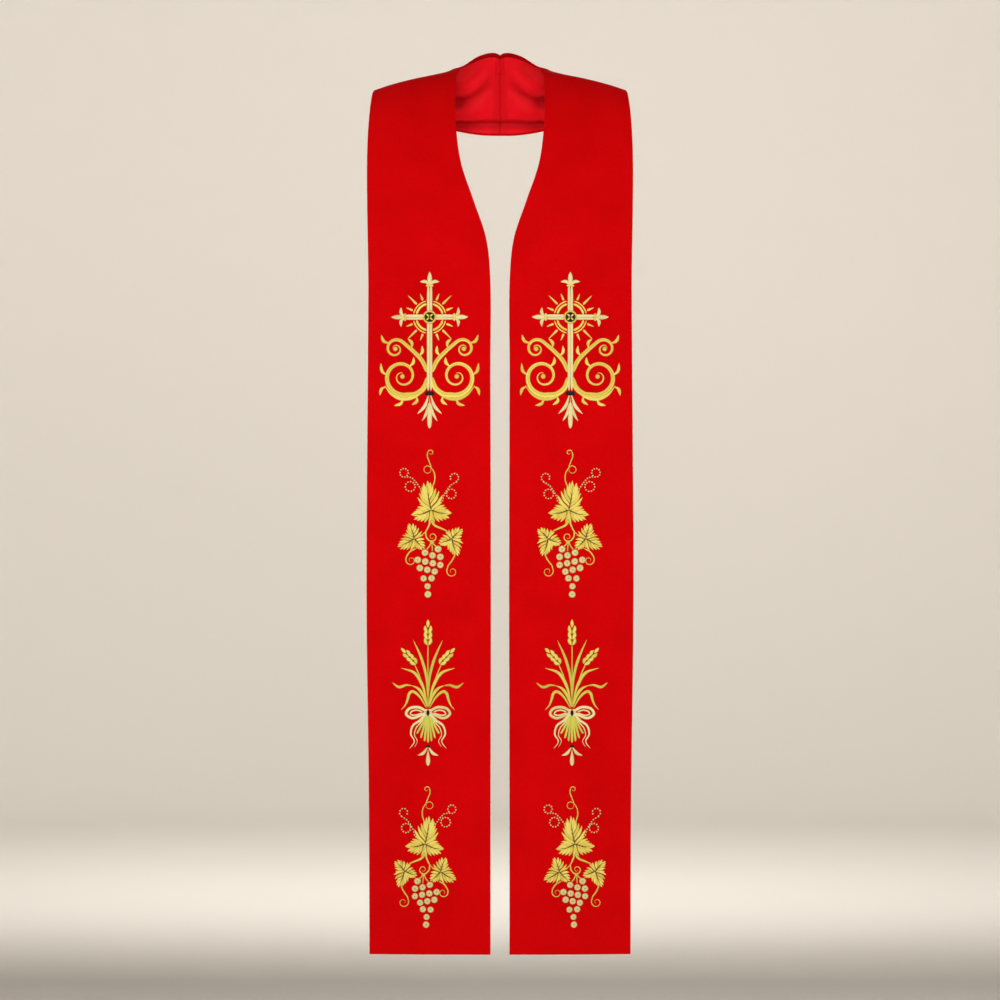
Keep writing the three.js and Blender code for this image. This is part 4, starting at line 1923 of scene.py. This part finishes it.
@dataclass
class CrossEmblem(Motif):
    """A budded cross in a ring of rays, over leafy scrolls that mirror each other."""

    heart: tuple[float, float] = (0.0, 42.0)
    arm: float = 33.0
    top: float = 42.0

    def draw(self) -> None:
        """Draws the cross, its ring, and the scrolls."""
        self.draw_cross()
        self.draw_ring()
        self.draw_scrolls()
        self.draw_pendant()

    def draw_cross(self) -> None:
        """Adds the bars, each of two columns of stitches, and the buds at their ends."""
        _, y = self.heart
        for shift in (-1.75, 1.75):
            upright = through((shift, -54.0), (shift, y + self.top), samples=60)
            arms = through((-self.arm, y + shift), (self.arm, y + shift), samples=50)
            self.add(
                Thread.PALE, stroke(upright, 1.85, Taper.EVEN, 0.30), stroke(arms, 1.85, Taper.EVEN, 0.25)
            )
        for bearing, reach in ((90, self.top), (0, self.arm), (180, self.arm)):
            end = turned(self.heart, bearing, reach - 1.0)
            self.add(
                Thread.PALE,
                stroke(through(end, turned(end, bearing, 18), samples=20), 3.3, Taper.ALMOND, 0.45),
            )
            for hand in (1, -1):
                root = turned(end, bearing + 90 * hand, 1.0)
                middle = turned(root, bearing + 38 * hand, 6.4)
                tip = turned(root, bearing + 66 * hand, 12.6)
                self.add(
                    Thread.PALE, stroke(through(root, middle, tip, samples=18), 2.3, Taper.BLADE, 0.35)
                )
            band = (turned(end, bearing + 90, 5.0), turned(end, bearing - 90, 5.0))
            self.add(Thread.GOLD, stroke(through(*band, samples=14), 1.35, Taper.EVEN, 0.85))

    def draw_ring(self) -> None:
        """Adds the ring round the crossing, its rays and the black heart."""
        for quarter in (0, 90, 180, 270):
            self.add(
                Thread.GOLD,
                stroke(spiral(self.heart, 17.4, 17.4, quarter + 12, 66 / 360), 1.5, Taper.EVEN, 0.2),
            )
            self.add(
                Thread.GOLD,
                stroke(spiral(self.heart, 21.2, 21.2, quarter + 12, 66 / 360), 0.9, Taper.EVEN, 0.1),
            )
            for offset, reach in ((22, 33.0), (45, 40.0), (68, 33.0)):
                bearing = quarter + offset
                ray = through(
                    turned(self.heart, bearing, 23.4), turned(self.heart, bearing, reach), samples=16
                )
                self.add(Thread.GOLD, stroke(ray, 1.7, Taper.FADE, 0.1))
            petal = through(
                turned(self.heart, quarter + 45, 0.8), turned(self.heart, quarter + 45, 5.6), samples=10
            )
            self.add(Thread.GOLD, stroke(petal, 1.25, Taper.ALMOND, 2.9))
        self.dots[Thread.BLACK] = Dots((self.heart,), 7.0)
        self.add(Thread.GOLD, stroke(spiral(self.heart, 7.6, 7.6, 0, 1.0), 1.25, Taper.EVEN, 1.2))

    def draw_scrolls(self) -> None:
        """Adds a large and a small scroll on each hand, with leaves along them."""
        large = np.vstack(
            [
                through((2.6, -36.0), (7.4, -50.0), (18.0, -58.2), (30.6, -59.4)),
                spiral((35.4, -35.4), 24.6, 4.2, -97, 1.55),
            ]
        )
        small = np.vstack(
            [
                through((2.8, -30.0), (9.6, -15.0), (21.0, -2.6), (33.6, 8.4)),
                spiral((44.6, 0.6), 13.4, 3.4, 143, -1.35),
            ]
        )
        inner = through(
            (3.4, -42.0), (10.0, -54.4), (21.0, -62.6), (36.4, -64.6), (49.6, -58.4), (58.6, -47.0)
        )
        strokes = [
            *twin(large, 1.85, Taper.FADE, 0.25),
            *twin(small, 1.55, Taper.FADE, 0.25),
            stroke(inner, 2.3, Taper.BLADE, 0.15),
        ]
        leaves = (
            ((57.0, -48.4), (62.6, -51.6), (65.0, -60.0)),
            ((54.8, -34.0), (61.8, -28.6), (63.6, -18.0)),
            ((17.6, -60.6), (16.4, -67.2), (23.0, -72.4)),
            ((34.6, -63.6), (37.4, -70.6), (46.0, -73.2)),
            ((24.0, 1.2), (23.0, 8.0), (28.4, 14.2)),
            ((52.0, 8.0), (59.6, 10.6), (63.2, 19.0)),
            ((14.0, -8.6), (9.6, -3.6), (9.8, 4.6)),
            ((26.8, -22.6), (21.4, -17.6), (20.8, -10.2)),
        )
        strokes += [stroke(through(*leaf, samples=16), 2.2, Taper.BLADE, 0.2) for leaf in leaves]
        self.add(Thread.GOLD, *both_sides(strokes))
        eyes = ((35.4, -35.4), (44.6, 0.6))
        self.dots[Thread.GOLD] = Dots(tuple((hand * x, y) for x, y in eyes for hand in (1, -1)), 3.1)

    def draw_pendant(self) -> None:
        """Adds the pale leaves that hang under the cross, and the black clasp over them."""
        self.add(Thread.PALE, stroke(through((0, -60), (0, -103), samples=28), 3.4, Taper.DROP, 0.3))
        leaves = [
            stroke(through((1.4, -60.0), (6.4, -74.0), (15.8, -84.0)), 2.3, Taper.BLADE, 0.2),
            stroke(through((1.2, -70.0), (4.4, -83.6), (10.0, -93.4)), 2.0, Taper.BLADE, 0.15),
        ]
        self.add(Thread.PALE, *both_sides(leaves))
        clasp = through((-6.4, -57.4), (6.4, -57.4), samples=16)
        self.add(Thread.BLACK, stroke(clasp, 2.5, Taper.EVEN, 0.9))


@dataclass
class FellingStitches:
    """The small slip stitches that hold a lining to the turned edges of the outer cloth."""

    lining: LiningBand
    inset: float = 0.012  # where the row starts and ends
    pitch: float = 0.0065
    stitch: float = 0.0020
    thread: float = 0.00026
    step: float = 0.004  # between points of its route
    hem_points: int = 40
    sunk: float = 0.0001  # how far under the turned edge's surface its middle lies

    def build(self, recipes: EmbroideryRecipes) -> bpy.types.Object:
        """Makes the stitches along both edges and the hem.

        Args:
            recipes: the trees that make the thread.

        Returns:
            The finished piece.
        """
        form, lining = self.lining.form, self.lining
        hem = form.length - lining.turned - lining.gap
        lengths = np.arange(self.inset, hem, self.step)
        edges = []
        for is_outer in (False, True):
            turned_width = np.array(
                [lining.turned_outer(v) if is_outer else lining.turned for v in lengths]
            )
            width = form.width(form.along(lengths))
            distance = width - turned_width - lining.gap if is_outer else turned_width + lining.gap
            edges.append(self.on_cloth(lengths, distance))
        across = np.linspace(
            lining.turned, float(form.width(form.along(np.array(hem)))) - lining.turned, self.hem_points
        )
        edges.append(self.on_cloth(np.full(self.hem_points, hem), across))
        source = curve_object("felling", [(edge, np.ones(len(edge))) for edge in edges])
        name = f"felling_{lining.side.word}_stitches"
        sizes = {"pitch": self.pitch, "stitch": self.stitch, "thread": self.thread}
        piece = recipes.felling.make(source, name, finish=Thread.RED.material, **sizes)
        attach(piece, BODY)
        LOG.info("%s: %d faces", piece.name, len(piece.data.polygons))
        return piece

    def on_cloth(self, lengths: Array, distance: Array) -> Array:
        """Points on the inside of the stole, with the folds that its cloth has there.

        Args:
            lengths: lengths from the seam.
            distance: distances from the neck edge.

        Returns:
            One row of three coordinates for each.
        """
        form, lining = self.lining.form, self.lining
        along = form.along(lengths)
        share = distance / form.width(along)
        fold = sum(crease.at(lengths, distance) for crease in NECK_CREASES + FRONT_CREASES[lining.side])
        depth = lining.stack - self.sunk - fold
        places = form.face_point(along, share) - form.outwards(
            form.face_point, along, share
        ) * depth[:, None]
        return places * np.array([lining.side.value, 1, 1])


# The studio


@dataclass(frozen=True)
class SoftLight:
    """A large soft light, by its place, its size, its power in watts and how widely it shines in degrees."""

    name: str
    place: tuple[float, float, float]
    size: float
    power: float
    beam: float = 180.0
    colour: Colour = (1.0, 0.985, 0.96)

    def build(self, target: Vector) -> None:
        """Puts the light in the scene, out of the camera's sight.

        Args:
            target: the point that it shines at.
        """
        data = bpy.data.lights.new(self.name, "AREA")
        data.shape = "DISK"
        data.size = self.size
        data.energy = self.power
        data.color = self.colour
        data.spread = math.radians(self.beam)
        light = add_object(self.name, data)
        light.location = self.place
        light.rotation_mode = "QUATERNION"
        light.rotation_quaternion = (target - Vector(self.place)).to_track_quat("-Z", "Y")
        light.visible_camera = False


@dataclass
class Studio:
    """A plain pale round studio, its lights and the camera, set out from the stole's own box."""

    GLOWS = (
        ("back_wall_glow", 0, 1, 140.0),
        ("front_wall_glow", 0, -1, 130.0),
        ("left_wall_glow", -1, 0, 130.0),
        ("right_wall_glow", 1, 0, 130.0),
    )

    framed_height: float = 1.30  # what the camera sees from top to bottom at the fronts
    camera_distance: float = 6.9  # from the fronts
    sensor: float = 36.0
    floor_drop: float = 0.27  # from the hem down to the floor
    radius: float = 8.6
    bend: float = 1.4
    wall_height: float = 8.0
    sides: int = 128
    view_height: float = 0.592  # from the hem up to the middle of the view
    glow_reach: float = 3.6  # from the middle of the studio to each wall light
    glow_height: float = 1.6
    glow_size: float = 3.0
    glow_aim: float = -0.3  # height on the wall that it shines at
    air: float = 0.10  # strength of the light from all round

    def build_camera(self) -> None:
        """Makes the camera, level with the middle of its view and square to the front."""
        low = CAD_BOX[0]
        data = bpy.data.cameras.new("camera")
        data.sensor_width = self.sensor
        data.lens = self.sensor * self.camera_distance / self.framed_height
        camera = add_object("camera", data)
        height = low.z + self.view_height
        camera.location = (0.0, low.y - self.camera_distance, height)
        camera.rotation_euler = (math.pi / 2, 0.0, 0.0)
        bpy.context.scene.camera = camera

    def build_backdrop(self) -> None:
        """Makes the floor and the round wall in one smooth sheet."""
        floor = CAD_BOX[0].z - self.floor_drop
        angles = np.radians(np.linspace(0, 90, 13))
        bend = [
            (
                self.radius - self.bend + self.bend * math.sin(a), floor + self.bend * (1 - math.cos(a))
            ) for a in angles
        ]
        profile = [(2.0, floor), (4.5, floor), *bend, (self.radius, floor + self.wall_height)]
        points = [(0.0, 0.0, floor)]
        for radius, height in profile:
            for k in range(self.sides):
                bearing = 2 * math.pi * k / self.sides
                points.append((radius * math.cos(bearing), radius * math.sin(bearing), height))
        faces = [(0, 1 + k, 1 + (k + 1) % self.sides) for k in range(self.sides)]
        for ring in range(len(profile) - 1):
            start = 1 + ring * self.sides
            for k in range(self.sides):
                following = (k + 1) % self.sides
                faces.append(
                    (start + k, start + self.sides + k, start + self.sides + following, start + following)
                )
        mesh = bpy.data.meshes.new("backdrop")
        mesh.from_pydata(points, [], faces)
        mesh.shade_smooth()
        mesh.materials.append(Plaster().material())
        add_object("backdrop", mesh)

    def build_lights(self) -> None:
        """Makes the lights and the sky."""
        low, high = CAD_BOX
        target = (low + high) / 2
        lights = (
            SoftLight("key", (-0.4, -2.7, 0.2), 1.0, 12.0, beam=110.0),
            SoftLight("fill", (0.6, -3.4, -0.2), 1.2, 5.4, beam=80.0),
            SoftLight("left", (-4.4, 2.4, 0.6), 2.6, 15.0, beam=80.0),
            SoftLight("right", (4.4, 2.4, 0.6), 2.6, 15.0, beam=80.0),
            SoftLight("back", (0.6, 3.6, 0.4), 2.0, 8.5, beam=80.0),
        )
        for light in lights:
            light.build(target)
        for name, across, away, power in self.GLOWS:
            place = (self.glow_reach * across, self.glow_reach * away, self.glow_height)
            glow = SoftLight(name, place, self.glow_size, power)
            glow.build(Vector((self.radius * across, self.radius * away, self.glow_aim)))
        world = bpy.data.worlds.new("studio_air")
        world.use_nodes = True
        background = world.node_tree.nodes["Background"]
        background.inputs["Color"].default_value = opaque((1.0, 0.975, 0.94))
        background.inputs["Strength"].default_value = self.air
        bpy.context.scene.world = world
        bpy.context.scene.view_settings.view_transform = "Standard"


# Putting it together


@dataclass
class Stole:
    """The whole garment: two halves, each with its cloth, lining, felling and embroidery."""

    emblem_x: float = 0.0916  # from the middle of the stole to the middle of each motif
    vine_x: float = 0.0910
    wheat_x: float = 0.0937
    lower_vine_x: float = 0.0967
    emblem_z: float = -0.364
    upper_vine_z: float = -0.5915
    wheat_z: float = -0.810
    lower_vine_z: float = -1.0255

    def build(self) -> None:
        """Builds every piece and attaches it to the body."""
        form = BandForm(SECTIONS)
        drape = soft_drape()
        crepe, satin = Crepe().material(), Satin().material()
        recipes = EmbroideryRecipes()
        for side in Side:
            cloth = OuterBand(form, side, drape).build(crepe)
            lining = LiningBand(form, side, drape)
            lining.build(satin)
            FellingStitches(lining).build(recipes)
            for motif in self.motifs(side):
                motif.build(recipes, cloth)

    def motifs(self, side: Side) -> list[Motif]:
        """The motifs of one front, from the chest down."""
        return [
            CrossEmblem("emblem", side, self.emblem_x, self.emblem_z),
            GrapeVine("upper_vine", side, self.vine_x, self.upper_vine_z, is_flipped=True),
            WheatSheaf("wheat", side, self.wheat_x, self.wheat_z),
            GrapeVine("lower_vine", side, self.lower_vine_x, self.lower_vine_z, scale=0.958, turn=1.5),
        ]


def main() -> None:
    """Builds the studio and the stole."""
    logging.basicConfig(level=logging.INFO, format="%(name)s: %(message)s")
    studio = Studio()
    studio.build_camera()
    Stole().build()
    studio.build_backdrop()
    studio.build_lights()


if __name__ == "__main__":
    main()
